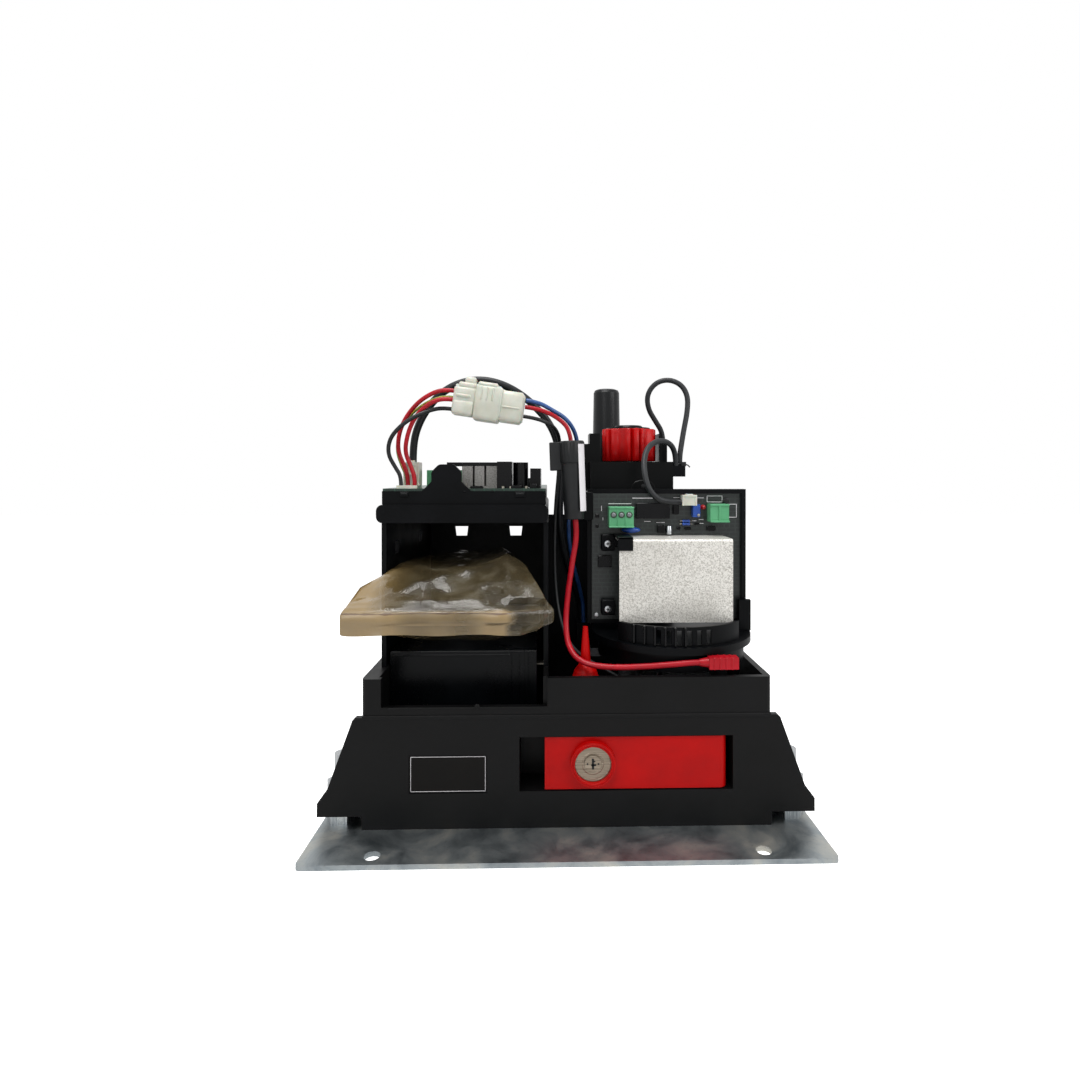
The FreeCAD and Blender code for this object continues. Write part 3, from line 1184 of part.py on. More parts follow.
def make_pouch():
    """Film pouch lying on the battery: a lofted bag, thin at the lip that hangs out in front."""
    gap = float(S.pouch_gap)
    left = gap + float(S.bay_wall) - float(S.bay_left)
    right = float(divider_left) - gap
    low = float(S.shelf_top + S.battery_height) + gap
    mouth = -float(S.bay_front) - 2 * gap
    front_y = -float(S.pouch_front)
    lip = (float(S.pouch_lip_bottom), float(S.pouch_lip_top))
    out = float(S.pouch_overhang)
    high = float(S.pouch_top)
    sections = [
        (front_y, left - out, right + out / 4, lip[0], lip[1]),
        ((front_y + mouth) / 2, left - out * 0.7, right + out * 0.6, (lip[0] + low) / 2,
         (lip[1] + high) / 2),
        (mouth, left, right, low, high),
        (float(S.pouch_back) / 2, left, right, low, high),
        (float(S.pouch_back), left + out, right - out, low, float(S.pouch_tail_top)),
    ]
    wires = []
    for y, x0, x1, z0, z1 in sections:
        nip = (z1 - z0) / 4
        ring = [(x0, z0 + nip), (x0 + nip, z0), (x1 - nip, z0), (x1, z0 + nip), (x1, z1 - nip),
                (x1 - nip, z1), (x0 + nip, z1), (x0, z1 - nip)]
        wires.append(Part.makePolygon([Vector(x, y, z) for x, z in ring + ring[:1]]))
    node("film_pouch", feature("film_pouch_solid", Part.makeLoft(wires, True, True)))


# ---------------------------------------------------------------- cords

# name: (diameter, points chosen by hand along the lie of the cord)
CORDS = {
    "red_wire_upper": (S.lead_wire, [
        (-70.6, -63, 268.42), (-77.5, -63, 269.39), (-85.5, -62, 267.3), (-94.5, -60, 262),
        (-103, -57, 253), (-108.2, -55, 242.3), (-109.2, -54, 230.7), (-104.8, -53.3, 220.4),
        (-102.8, -53, 214), (-102.8, -53, 208.6)]),
    "red_wire_lower": (S.lead_wire, [
        (-71.4, -64.5, 262.68), (-77.32, -64.5, 263.51), (-84.5, -64, 261.8), (-92, -63, 257),
        (-98, -61.5, 249.5), (-101.8, -60, 240.3), (-103.5, -59, 229.8), (-99.5, -58, 220),
        (-97.5, -57.5, 213.6), (-97.5, -57.5, 208.6)]),
    "green_wire": (1.8, [
        (-71.1, -58.5, 264.86), (-77.01, -58.5, 265.69), (-84.5, -57.5, 264.3),
        (-94, -55.5, 259.8), (-103.3, -53, 252), (-109.5, -51.2, 241.5), (-110.8, -50, 230.5),
        (-107.6, -49.6, 221), (-104.4, -49.4, 214.2), (-104.4, -49.4, 208.6)]),
    "black_wire_left": (2.6, [
        (-72.18, -60, 257.13), (-79.08, -60, 258.1), (-86.5, -62.5, 256.4),
        (-95.5, -66, 252.3), (-104.5, -66.5, 246.2), (-111.8, -65, 238), (-113.6, -62, 228.5),
        (-109.6, -59, 220.2), (-106.2, -57.6, 214.4), (-106.2, -57.6, 208.6)]),
    "red_wire_right": (S.lead_wire, [
        (-26.93, -57.5, 258.95), (-20.03, -57.5, 257.98), (-11.9, -56.9, 255.4), (-4.3, -56, 251),
        (1.65, -55, 244.85), (2.56, -55, 237.44)]),
    "blue_wire": (S.lead_wire, [
        (-26.3, -55.5, 263.41), (-18.41, -55.5, 262.3), (-9.5, -54, 257.4), (-0.4, -50, 252.5),
        (5.7, -45, 244.4), (8.0, -38, 234.1), (6.5, -32, 220), (3.5, -26, 202), (2, -19, 184),
        (3, -11, 164), (7, -3, 146), (12, 4, 128), (14, 6.5, 116), (14, 6.5, 106)]),
    "black_wire_right": (2.4, [
        (-27.83, -62, 252.52), (-20.93, -62, 251.55), (-12.8, -58.5, 249), (-6.5, -51.5, 245.2),
        (-4, -43.6, 236.5), (-5, -40, 217), (-7.2, -38.5, 194), (-8, -38, 168),
        (-7.5, -40, 142), (-5, -45, 122), (0, -50, 107.5), (8, -53, 98.5), (19, -56, 92.5),
        (31, -58.8, 86.5), (42, -60, 81), (52, -60, 78.5), (60, -60, 84.6), (60, -60, 93)]),
    "red_lead": (3.6, [
        (5.6, -54, 186.37), (6.82, -54, 176.47), (3.5, -54, 158), (0.5, -53.5, 136),
        (-1, -57.5, 117), (1.5, -66.5, 104.5), (10, -75.8, 98.6), (27, -79.2, 97.3),
        (47, -79.3, 97.8), (66, -79.6, 99.3), (76.5, -80.5, 100.5), (86.0, -80.5, 100.5)]),
    "sheathed_cable": (5.0, [
        (-102.2, -40, 223.6), (-102.2, -40, 233.6), (-99.5, -42, 245.8), (-92.5, -45.5, 258.2),
        (-82.5, -48, 269), (-70.5, -48.4, 275.6), (-58.1, -48, 278), (-45.0, -48, 276.0),
        (-32.6, -47, 270.3), (-21.5, -45, 261.6), (-11.5, -41, 250.7), (-5.4, -36, 237),
        (-3.5, -29, 219), (-4, -21.5, 199), (-4, -13, 179), (-1, -4, 160), (4.5, 5, 141),
        (10.5, 12, 124), (12.8, 14.6, 114.5), (12.8, 14.6, 106)]),
    "encoder_cable_upper": (4.0, [
        (77.6, 31, 239), (77.6, 31, 248), (71, 28.5, 257.6), (65, 25.5, 266.5),
        (63.9, 23.5, 277.5), (70.4, 21.5, 286.4), (80.3, 19.5, 288.5), (89.5, 17.5, 284.2),
        (94, 15.5, 275), (93, 13.5, 262.5), (90, 11.5, 249.5), (87.5, 9.5, 236.5),
        (86.2, 8.5, 229), (86.2, 8.5, 222)]),
    "encoder_cable_lower": (4.0, [
        (82.3, 3.5, 222), (82.3, 3.5, 230.5), (77.5, -2, 238.5), (68, -9.5, 240.5),
        (59, -17, 236), (54.6, -24, 227), (54, -30.5, 216.5), (56, -34.5, 206),
        (61.8, -35, 199), (70.5, -33, 196.5), (79.2, -33, 196.5)]),
}
BEND_SHARE = 0.45


def make_cord(name, diameter, route):
    """Round tube along straight runs joined by the largest tangent arcs that the runs allow."""
    points = [Vector(*p) for p in route]
    edges, tightest, start = [], 1e9, points[0]
    for before, corner, after in zip(points, points[1:], points[2:]):
        come, leave = corner - before, after - corner
        reach = BEND_SHARE * min(come.Length, leave.Length)
        turn = come.getAngle(leave)
        tightest = min(tightest, reach / math.tan(turn / 2))
        enter = corner - come * (reach / come.Length)
        depart = corner + leave * (reach / leave.Length)
        inward = (enter + depart) * 0.5 - corner
        middle = corner + bow_to_arc(inward, reach, turn)
        edges += [Part.makeLine(start, enter), Part.Arc(enter, middle, depart).toShape()]
        start = depart
    edges.append(Part.makeLine(start, points[-1]))
    path = Part.Wire(edges)
    ring = Part.Wire(Part.makeCircle(diameter / 2, points[0], points[1] - points[0]))
    tube = path.makePipeShell([ring], True, False)
    ideal = math.pi * diameter ** 2 / 4 * path.Length
    if abs(tube.Volume / ideal - 1) > 0.01:
        raise RuntimeError(name + " tube volume is off")
    print("%s: length %.0f, tightest bend radius %.1f" % (name, path.Length, tightest))
    node(name, feature(name + "_tube", tube))


def bow_to_arc(inward, reach, turn):
    """From the corner to the middle of its tangent arc."""
    radius = reach / math.tan(turn / 2)
    gap = radius / math.cos(turn / 2) - radius
    return inward * (gap / inward.Length)


def make_cords():
    for name, (diameter, route) in CORDS.items():
        make_cord(name, float(diameter), route)


MAKERS = [make_base_plate, make_studs_and_nuts, make_chassis, make_lever, make_lever_pin,
          make_lock, make_plunger, make_spring, make_gearbox, make_gearbox_cover,
          make_worm_wheel, make_output_shaft, make_bearings, make_pinion, make_circlip,
          make_worm_shaft, make_motor, make_motor_housing,
          make_encoder_drum, make_cover_post, make_battery, make_bay_frame,
          make_controller_tray, make_controller_base, make_controller_parts,
          make_charger_base, make_charger_card, make_charger_heatsink,
          make_connectors, make_harness_joint, make_fuse_holder, make_breather, make_boot,
          make_cable_fittings, make_pouch, make_cords]


def build():
    for maker in MAKERS:
        maker()
    node("pinion_key", key_block("pinion_key_solid"))
    doc.recompute()


def check_and_export():
    for item in doc.Objects:
        if "Invalid" in item.State or "Error" in item.State:
            raise RuntimeError("%s is %s" % (item.Name, item.State))
    os.makedirs("parts", exist_ok=True)
    for label, item in sorted(NODES.items()):
        if item.Shape.isNull() or not item.Shape.isValid():
            raise RuntimeError(label + " has a bad shape")
        item.Shape.exportStep("parts/%s.step" % label)
    print(len(NODES), "nodes")


build()
check_and_export()
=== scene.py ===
import math
import bpy
import numpy as np
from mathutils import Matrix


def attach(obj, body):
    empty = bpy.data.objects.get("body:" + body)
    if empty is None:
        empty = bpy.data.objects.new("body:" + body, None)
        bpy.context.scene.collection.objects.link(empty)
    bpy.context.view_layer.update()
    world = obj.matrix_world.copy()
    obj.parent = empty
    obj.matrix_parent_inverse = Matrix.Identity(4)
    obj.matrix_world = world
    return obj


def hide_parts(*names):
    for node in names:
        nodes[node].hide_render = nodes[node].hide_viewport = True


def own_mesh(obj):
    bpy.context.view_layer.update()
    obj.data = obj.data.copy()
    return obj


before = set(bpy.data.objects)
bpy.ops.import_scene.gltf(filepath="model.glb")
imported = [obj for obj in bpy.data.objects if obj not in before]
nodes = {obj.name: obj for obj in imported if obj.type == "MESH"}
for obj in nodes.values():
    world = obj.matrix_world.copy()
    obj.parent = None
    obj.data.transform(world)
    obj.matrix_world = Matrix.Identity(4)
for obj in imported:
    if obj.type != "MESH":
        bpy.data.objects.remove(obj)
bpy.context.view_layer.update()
scene = bpy.context.scene
mm = 0.001
print("frame:", len(nodes), "nodes")


# colours and node trees

def linear(hexText):
    # sRGB hex to linear rgba: below 0.04045 c / 12.92, above it ((c + 0.055) / 1.055) to the power 2.4
    values = np.array([int(hexText[i:i + 2], 16) / 255 for i in (0, 2, 4)])
    low = values / 12.92
    high = ((values + 0.055) / 1.055) ** 2.4
    return (*np.where(values <= 0.04045, low, high).tolist(), 1.0)


def per(sizeMm):
    # texture scale on metre coordinates whose features are about sizeMm across
    return 1000.0 / sizeMm


def addNode(tree, kind, inputs=None, **settings):
    # one shader node: its settings by name, then each socket as a value or a link
    node = tree.nodes.new("ShaderNode" + kind)
    for key, value in settings.items():
        setattr(node, key, value)
    for key, value in (inputs or {}).items():
        if isinstance(value, bpy.types.NodeSocket):
            tree.links.new(value, node.inputs[key])
        else:
            node.inputs[key].default_value = value
    return node


def rampStops(node, stops):
    # colour ramp stops as (place, hex) pairs
    ramp = node.color_ramp
    while len(ramp.elements) < len(stops):
        ramp.elements.new(0.5)
    for element, (place, tone) in zip(ramp.elements, stops):
        element.position = place
        element.color = linear(tone)


def startMaterial(name, **sockets):
    # empty principled material; socket names are given with underscores for spaces
    material = bpy.data.materials.new(name)
    material.use_nodes = True
    tree = material.node_tree
    shader = tree.nodes["Principled BSDF"]
    for key, value in sockets.items():
        shader.inputs[key.replace("_", " ")].default_value = value
    place = addNode(tree, "TexCoord").outputs["Object"]
    return material, tree, shader, place


def dress(tree, shader, colour, gloss=None, relief=None):
    # colour onto the shader; gloss is (driver, roughness where it is 0.3, where it is 0.7) and
    # relief is (height, strength, depth in millimetres)
    tree.links.new(colour, shader.inputs["Base Color"])
    if gloss:
        spread = addNode(tree, "MapRange", {"Value": gloss[0], "From Min": 0.3, "From Max": 0.7,
                                            "To Min": gloss[1], "To Max": gloss[2]})
        tree.links.new(spread.outputs["Result"], shader.inputs["Roughness"])
    if relief:
        bump = addNode(tree, "Bump", {"Height": relief[0], "Strength": relief[1],
                                      "Distance": relief[2] * mm})
        tree.links.new(bump.outputs["Normal"], shader.inputs["Normal"])


def mouldedMaterial(name, tone, worn, rough, grainMm, bumpMm, patchMm=30, shine=0.5, **sockets):
    # injection moulding: broad tone patches, a fine spark-eroded grain and uneven gloss; shine is
    # the strength of the clear reflection
    material, tree, shader, place = startMaterial(name, Specular_IOR_Level=shine, **sockets)
    patch = addNode(tree, "TexNoise", {"Vector": place, "Scale": per(patchMm), "Detail": 4.0,
                                       "Roughness": 0.6})
    tones = addNode(tree, "ValToRGB", {"Fac": patch.outputs["Fac"]})
    rampStops(tones, ((0.35, tone), (0.75, worn)))
    grain = addNode(tree, "TexNoise", {"Vector": place, "Scale": per(grainMm), "Detail": 3.0})
    dress(tree, shader, tones.outputs["Color"], (patch.outputs["Fac"], rough - 0.06, rough + 0.08),
          (grain.outputs["Fac"], 0.6, bumpMm))
    return material


def drawnMetal(name, tone, dark, rough, along, lineMm):
    # drawn or ground metal: noise stretched 40 times along one axis gives the grinding lines
    material, tree, shader, place = startMaterial(name, Metallic=1.0)
    stretch = [1.0, 1.0, 1.0]
    stretch["xyz".index(along)] = 1 / 40
    turned = addNode(tree, "Mapping", {"Vector": place, "Scale": stretch})
    lines = addNode(tree, "TexNoise", {"Vector": turned.outputs["Vector"], "Scale": per(lineMm),
                                       "Detail": 4.0})
    tones = addNode(tree, "ValToRGB", {"Fac": lines.outputs["Fac"]})
    rampStops(tones, ((0.3, dark), (0.7, tone)))
    dress(tree, shader, tones.outputs["Color"], (lines.outputs["Fac"], rough + 0.1, rough - 0.05),
          (lines.outputs["Fac"], 0.5, 0.004))
    return material


def zincSheetMaterial():
    # bright electroplated zinc on cold-rolled sheet: bluish grey, cloudy stains, faint rolling lines
    material, tree, shader, place = startMaterial("zincPlatedSheet", Metallic=1.0)
    cloud = addNode(tree, "TexNoise", {"Vector": place, "Scale": per(28), "Detail": 6.0,
                                       "Roughness": 0.62, "Distortion": 0.6})
    tones = addNode(tree, "ValToRGB", {"Fac": cloud.outputs["Fac"]})
    rampStops(tones, ((0.3, "767E83"), (0.5, "9DA3A5"), (0.7, "BAB8B0")))
    stretched = addNode(tree, "Mapping", {"Vector": place, "Scale": (0.03, 1.0, 1.0)})
    rolling = addNode(tree, "TexNoise", {"Vector": stretched.outputs["Vector"], "Scale": per(1.2),
                                         "Detail": 3.0})
    spots = addNode(tree, "TexNoise", {"Vector": place, "Scale": per(1.6), "Detail": 2.0})
    dirt = addNode(tree, "MapRange", {"Value": spots.outputs["Fac"], "From Min": 0.62, "From Max": 0.75,
                                      "To Min": 0.0, "To Max": 0.35})
    mixed = addNode(tree, "Mix", {"Factor": dirt.outputs["Result"], "A": tones.outputs["Color"],
                                  "B": linear("7B756B")}, data_type="RGBA")
    dress(tree, shader, mixed.outputs["Result"], (cloud.outputs["Fac"], 0.36, 0.5),
          (rolling.outputs["Fac"], 0.35, 0.006))
    return material


def castMaterial():
    # sand-blasted aluminium casting: even grey with a pebbled skin
    material, tree, shader, place = startMaterial("castAluminium", Metallic=1.0, Roughness=0.5)
    pebbles = addNode(tree, "TexNoise", {"Vector": place, "Scale": per(0.9), "Detail": 3.0})
    tones = addNode(tree, "ValToRGB", {"Fac": pebbles.outputs["Fac"]})
    rampStops(tones, ((0.3, "85878A"), (0.7, "A3A5A8")))
    dress(tree, shader, tones.outputs["Color"], relief=(pebbles.outputs["Fac"], 0.6, 0.05))
    return material


def etchedSheetMaterial(name, tone, dark, grainMm, rough):
    # tumbled and etched aluminium sheet: a salt-and-pepper sparkle of small facets, drawn coarser
    # than real so that it shows
    material, tree, shader, place = startMaterial(name, Metallic=0.45)
    grains = addNode(tree, "TexNoise", {"Vector": place, "Scale": per(grainMm), "Detail": 5.0,
                                        "Roughness": 0.7})
    smudge = addNode(tree, "TexNoise", {"Vector": place, "Scale": per(22), "Detail": 3.0})
    tones = addNode(tree, "ValToRGB", {"Fac": grains.outputs["Fac"]})
    rampStops(tones, ((0.36, dark), (0.56, tone)))
    shade = addNode(tree, "MapRange", {"Value": smudge.outputs["Fac"], "From Min": 0.4,
                                       "From Max": 0.7, "To Min": 0.0, "To Max": 0.25})
    mixed = addNode(tree, "Mix", {"Factor": shade.outputs["Result"], "A": tones.outputs["Color"],
                                  "B": linear(dark)}, data_type="RGBA")
    dress(tree, shader, mixed.outputs["Result"], (grains.outputs["Fac"], rough + 0.1, rough - 0.1),
          (grains.outputs["Fac"], 0.8, 0.05))
    return material


def circuitMaterial(name, mask, trace, across):
    # glass-epoxy board under solder mask: copper tracks show as paler lines through the lacquer
    material, tree, shader, place = startMaterial(name, Roughness=0.32)
    flat = addNode(tree, "Mapping", {"Vector": place, "Rotation": across})
    tracks = addNode(tree, "TexBrick",
                     {"Vector": flat.outputs["Vector"], "Scale": per(9), "Mortar Size": 0.045,
                      "Brick Width": 0.7, "Row Height": 0.32, "Mortar Smooth": 0.0,
                      "Color1": (0, 0, 0, 1), "Color2": (0.25, 0.25, 0.25, 1), "Mortar": (1, 1, 1, 1)},
                     offset=0.37, squash=0.6, squash_frequency=3)
    weave = addNode(tree, "TexNoise", {"Vector": place, "Scale": per(3.5), "Detail": 2.0})
    strength = addNode(tree, "Math", {0: tracks.outputs["Color"], 1: weave.outputs["Fac"]},
                       operation="MULTIPLY")
    mixed = addNode(tree, "Mix", {"Factor": strength.outputs["Value"], "A": linear(mask),
                                  "B": linear(trace)}, data_type="RGBA")
    dress(tree, shader, mixed.outputs["Result"], relief=(tracks.outputs["Color"], 0.4, 0.03))
    return material


# black and red ABS and nylon: deep colour, half-gloss, with the tool's spark-eroded grain
blackAbs = mouldedMaterial("mouldedBlackAbs", "050505", "0A0A0B", 0.44, 0.5, 0.03, shine=0.16)
blackTray = mouldedMaterial("mouldedBlackTray", "020304", "06070A", 0.4, 0.5, 0.02, shine=0.1)
glossBlack = mouldedMaterial("polishedBlackPolycarbonate", "030304", "08080A", 0.24, 0.8, 0.008, shine=0.2)
redAbs = mouldedMaterial("mouldedRedAbs", "A60202", "BC0403", 0.38, 0.5, 0.02, 22, shine=0.15)
drumRed = mouldedMaterial("mouldedRedNylon", "9C0204", "B80504", 0.3, 0.6, 0.015, 18, shine=0.2)
redRubber = mouldedMaterial("softRedPvc", "A00A18", "BC1225", 0.4, 0.9, 0.03, shine=0.25)
batteryAbs = mouldedMaterial("batteryCaseAbs", "020304", "07090C", 0.28, 0.7, 0.015, 40, shine=0.14)
postNylon = mouldedMaterial("turnedBlackNylon", "06080A", "0C0F12", 0.33, 0.6, 0.015, shine=0.25)
fuseNylon = mouldedMaterial("blackRubberisedNylon", "0D0E0F", "1A1C1E", 0.4, 0.7, 0.03, shine=0.3)
# polyamide, natural nylon and coated paper: duller, the white nylon slightly translucent
terminalGreen = mouldedMaterial("greenPolyamide", "4F9A6C", "62AA7C", 0.42, 0.5, 0.015)
naturalNylon = mouldedMaterial("naturalNylon", "BEBFB1", "D0D1C6", 0.34, 0.8, 0.01, 14,
                               Subsurface_Weight=0.25, Subsurface_Scale=0.002)
whitePaper = mouldedMaterial("coatedPaper", "DAD6DA", "E6E4E6", 0.55, 0.4, 0.01)
# stove enamel: thin, even and dark over sheet steel
motorEnamel = mouldedMaterial("blackStoveEnamel", "020303", "060708", 0.34, 1.2, 0.02, shine=0.12)
# plasticised PVC sleeves: smooth and waxy, the tone drifting along the wire
redPvc = mouldedMaterial("redWirePvc", "980617", "B00E20", 0.32, 1.5, 0.02, 8, shine=0.3)
blackPvc = mouldedMaterial("blackWirePvc", "0A0B0C", "141618", 0.36, 1.5, 0.02, 8, shine=0.35)
bluePvc = mouldedMaterial("blueWirePvc", "1D3F74", "2A5592", 0.34, 1.5, 0.02, 8)
greenPvc = mouldedMaterial("earthWireGreen", "45701F", "5C8A2C", 0.36, 1.5, 0.02, 8)
yellowPvc = mouldedMaterial("earthWireYellow", "B09D1C", "C9B52E", 0.36, 1.5, 0.02, 8)
sheathPvc = mouldedMaterial("blackSheathPvc", "0C0E10", "171A1D", 0.4, 1.5, 0.03, 10, shine=0.3)
greyPvc = mouldedMaterial("greySheathPvc", "17191B", "27292B", 0.46, 1.4, 0.04, 12, shine=0.3)
# sintered ferrite: matt and nearly black
magnetFerrite = mouldedMaterial("sinteredFerrite", "1C1C1E", "2A2A2C", 0.6, 0.6, 0.05)
# worked metals: fine lines along the way each was stacked, ground, drawn or turned
laminations = drawnMetal("stackedLaminations", "6E6A64", "4A4743", 0.42, "x", 0.6)
groundSteel = drawnMetal("groundSteel", "B9BBBD", "8C8F92", 0.3, "y", 0.4)
springWire = drawnMetal("springWire", "8F9194", "66686B", 0.32, "y", 0.3)
gearBronze = drawnMetal("machinedBronze", "B08A4C", "8A6A36", 0.34, "y", 0.4)
lockNickel = drawnMetal("nickelPlatedZinc", "9F9383", "6E6356", 0.3, "x", 0.5)
tinnedBrass = drawnMetal("tinnedBrass", "B4AFA3", "8F8A7E", 0.3, "x", 0.4)
zincScrew = drawnMetal("zincPlatedSteel", "C8CACB", "8E9296", 0.28, "z", 0.5)
# plated sheet, casting, etched sheet and boards: each function says what it gives the eye
zincSheet = zincSheetMaterial()
castAluminium = castMaterial()
chargerSheet = etchedSheetMaterial("etchedAluminiumSheet", "E6E4DE", "A29E96", 0.9, 0.45)
controllerSheet = etchedSheetMaterial("dullAluminiumSheet", "9C9A97", "6F6D6A", 0.9, 0.55)
controllerMask = circuitMaterial("greenSolderMask", "12271F", "2A5240", (0.0, 0.0, 0.0))
# resins and label film: smooth and clean; the terminal's mouth is the same green in shade
blueResin = mouldedMaterial("bluePottingResin", "173F8F", "2450A8", 0.3, 0.8, 0.01, 6)
redResin = mouldedMaterial("redDiffusedResin", "8E0A10", "A91419", 0.28, 0.8, 0.008, 6)
labelFilm = mouldedMaterial("satinLabelFilm", "080706", "0E0C0A", 0.34, 0.6, 0.01, 18, shine=0.12)
terminalShade = mouldedMaterial("greenPolyamideMouth", "1E3B28", "28492F", 0.5, 0.5, 0.015)
chargerMask = circuitMaterial("agedSolderMask", "161B1A", "2C3532", (math.pi / 2, 0.0, 0.0))

# each finish and the nodes that wear it
finishes = {
    zincSheet: "base_plate",
    zincScrew: "foot_studs foot_nuts",
    blackAbs: "chassis",
    blackTray: ("bay_frame controller_tray controller_base charger_base charger_bracket "
                "cable_fittings"),
    motorEnamel: "motor_housing motor_can",
    postNylon: "cover_post",
    glossBlack: "controller_relays",
    fuseNylon: "fuse_holder",
    redAbs: "release_lever breather_cap",
    drumRed: "encoder_drum",
    redRubber: "red_terminal_boot",
    lockNickel: "lock_barrel lock_plug",
    groundSteel: ("lock_cam lever_pin release_plunger worm_shaft output_shaft drive_pinion pinion_key "
                  "ball_bearings"),
    springWire: "plunger_spring pinion_circlip",
    gearBronze: "worm_wheel",
    castAluminium: "gearbox_housing gearbox_cover",
    magnetFerrite: "motor_magnets",
    laminations: "armature",
    batteryAbs: "battery_case battery_lid",
    tinnedBrass: "battery_terminals",
    controllerMask: "controller_board",
    chargerMask: "charger_board",
    controllerSheet: "controller_heatsink",
    chargerSheet: "charger_heatsink",
    terminalGreen: "screw_terminals",
    naturalNylon: "white_headers harness_plug harness_socket",
}
for finish, wearers in finishes.items():
    for nodeName in wearers.split():
        for materialSlot in nodes[nodeName].material_slots:
            materialSlot.material = finish
print("finishes:", len(finishes), "materials on nodes")


# surfaces on grids

def turnAxes(local, axis):
    # local (across, up, along) columns to row-frame columns with along on the given axis
    order = {"x": (1, 2, 0), "y": (2, 0, 1), "z": (0, 1, 2)}[axis]
    out = np.empty_like(local)
    out[..., order[0]], out[..., order[1]], out[..., order[2]] = local[..., 0], local[..., 1], local[..., 2]
    return out


def carry(rings, endless=False):
    # skin of quads between successive closed rings (n, m, 3); open ends take a flat cap
    count, around = rings.shape[:2]
    i, j = np.meshgrid(np.arange(count if endless else count - 1), np.arange(around), indexing="ij")
    after, beside = (i + 1) % count, (j + 1) % around
    faces = np.stack([i * around + j, i * around + beside, after * around + beside, after * around + j], -1)
    faces = faces.reshape(-1, 4).tolist()
    if not endless:
        faces += [list(range(around))[::-1], list(range((count - 1) * around, count * around))]
    return rings.reshape(-1, 3), faces


def roundRect(width, height, corner, steps=3):
    # closed outline: four quarter circles of radius corner about the inset corners
    turn = np.linspace(0, np.pi / 2, steps + 1)[None, :] + np.arange(4)[:, None] * np.pi / 2
    signs = np.array([(1, 1), (-1, 1), (-1, -1), (1, -1)])
    x = signs[:, 0, None] * (width / 2 - corner) + corner * np.cos(turn)
    y = signs[:, 1, None] * (height / 2 - corner) + corner * np.sin(turn)
    return np.stack([x.ravel(), y.ravel()], 1)


def slab(low, high, corner=0.5, ease=0.25, axis="z"):
    # round-cornered rectangle carried from low to high, drawn in by ease at both ends
    low, high = np.array(low, float), np.array(high, float)
    order = {"x": [1, 2, 0], "y": [2, 0, 1], "z": [0, 1, 2]}[axis]
    size, middle = (high - low)[order], ((high + low) / 2)[order]
    corner = min(corner, size[0] * 0.49, size[1] * 0.49)
    inner = 1 - 2 * min(ease, size[0] * 0.3, size[1] * 0.3) / size[:2]
    outline = roundRect(size[0], size[1], corner)
    heights = np.array([-0.5, -0.5 + ease / size[2], 0.5 - ease / size[2], 0.5]) * size[2]
    shares = np.stack([inner, np.ones(2), np.ones(2), inner])
    flat = outline[None] * shares[:, None] + middle[:2]
    upright = np.broadcast_to((heights + middle[2])[:, None, None], flat.shape[:2] + (1,))
    return carry(turnAxes(np.concatenate([flat, upright], 2), axis))


def slabs(boxes, corner, ease, axis="z"):
    # one slab for each pair of low and high corners
    return [slab(low, high, corner, ease, axis) for low, high in boxes]


def lathe(profile, centre, axis="z", sides=32, ring=False):
    # profile of (radius, height) pairs turned about an axis through centre; a ring's profile closes
    # on itself, so nothing spans its middle
    radius, height = np.array(profile, float).T
    turn = np.linspace(0, 2 * np.pi, sides, endpoint=False)
    rings = np.stack([radius[:, None] * np.cos(turn), radius[:, None] * np.sin(turn),
                      np.broadcast_to(height[:, None], (len(radius), sides))], 2)
    return carry(turnAxes(rings, axis) + np.array(centre, float), ring)


def tube(points, radius, sides=10, reference=(0.13, 0.31, 0.94), endless=False):
    # circle carried along a path, square to its tangent
    path = np.array(points, float)
    tangent = np.gradient(path, axis=0)
    if endless:
        tangent = np.roll(path, -1, 0) - np.roll(path, 1, 0)
    tangent /= np.linalg.norm(tangent, axis=1)[:, None]
    side = np.cross(tangent, reference)
    side /= np.linalg.norm(side, axis=1)[:, None]
    up = np.cross(side, tangent)
    turn = np.linspace(0, 2 * np.pi, sides, endpoint=False)
    radii = np.broadcast_to(np.atleast_1d(radius), len(path))[:, None, None]
    spin = side[:, None] * np.cos(turn)[None, :, None] - up[:, None] * np.sin(turn)[None, :, None]
    return carry(path[:, None] + spin * radii, endless)


def merge(shapes):
    # several shapes as one list of points and faces
    points, faces, base = [], [], 0
    for shapePoints, shapeFaces in shapes:
        points.append(shapePoints)
        faces += [[index + base for index in face] for face in shapeFaces]
        base += len(shapePoints)
    return np.concatenate(points), faces


def tilt(shape, about, axis, degrees):
    # a shape turned about a row axis through a point
    points, faces = shape
    a, b = {"x": (1, 2), "y": (2, 0), "z": (0, 1)}[axis]
    c, s = math.cos(math.radians(degrees)), math.sin(math.radians(degrees))
    moved = points - np.array(about, float)
    out = moved.copy()
    out[:, a] = c * moved[:, a] - s * moved[:, b]
    out[:, b] = s * moved[:, a] + c * moved[:, b]
    return out + np.array(about, float), faces


def makePiece(name, shapes, material, body="base", sharp=38, stands=()):
    # one Blender object from shapes in millimetres, shaded smooth up to the sharp angle
    points, faces = merge(shapes)
    mesh = bpy.data.meshes.new(name)
    mesh.from_pydata((points * mm).tolist(), [], faces)
    mesh.update()
    mesh.polygons.foreach_set("use_smooth", np.ones(len(mesh.polygons), bool))
    mesh.set_sharp_from_angle(angle=math.radians(sharp))
    mesh.materials.append(material)
    piece = bpy.data.objects.new(name, mesh)
    scene.collection.objects.link(piece)
    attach(piece, body)
    if stands:
        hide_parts(*stands)
    return piece


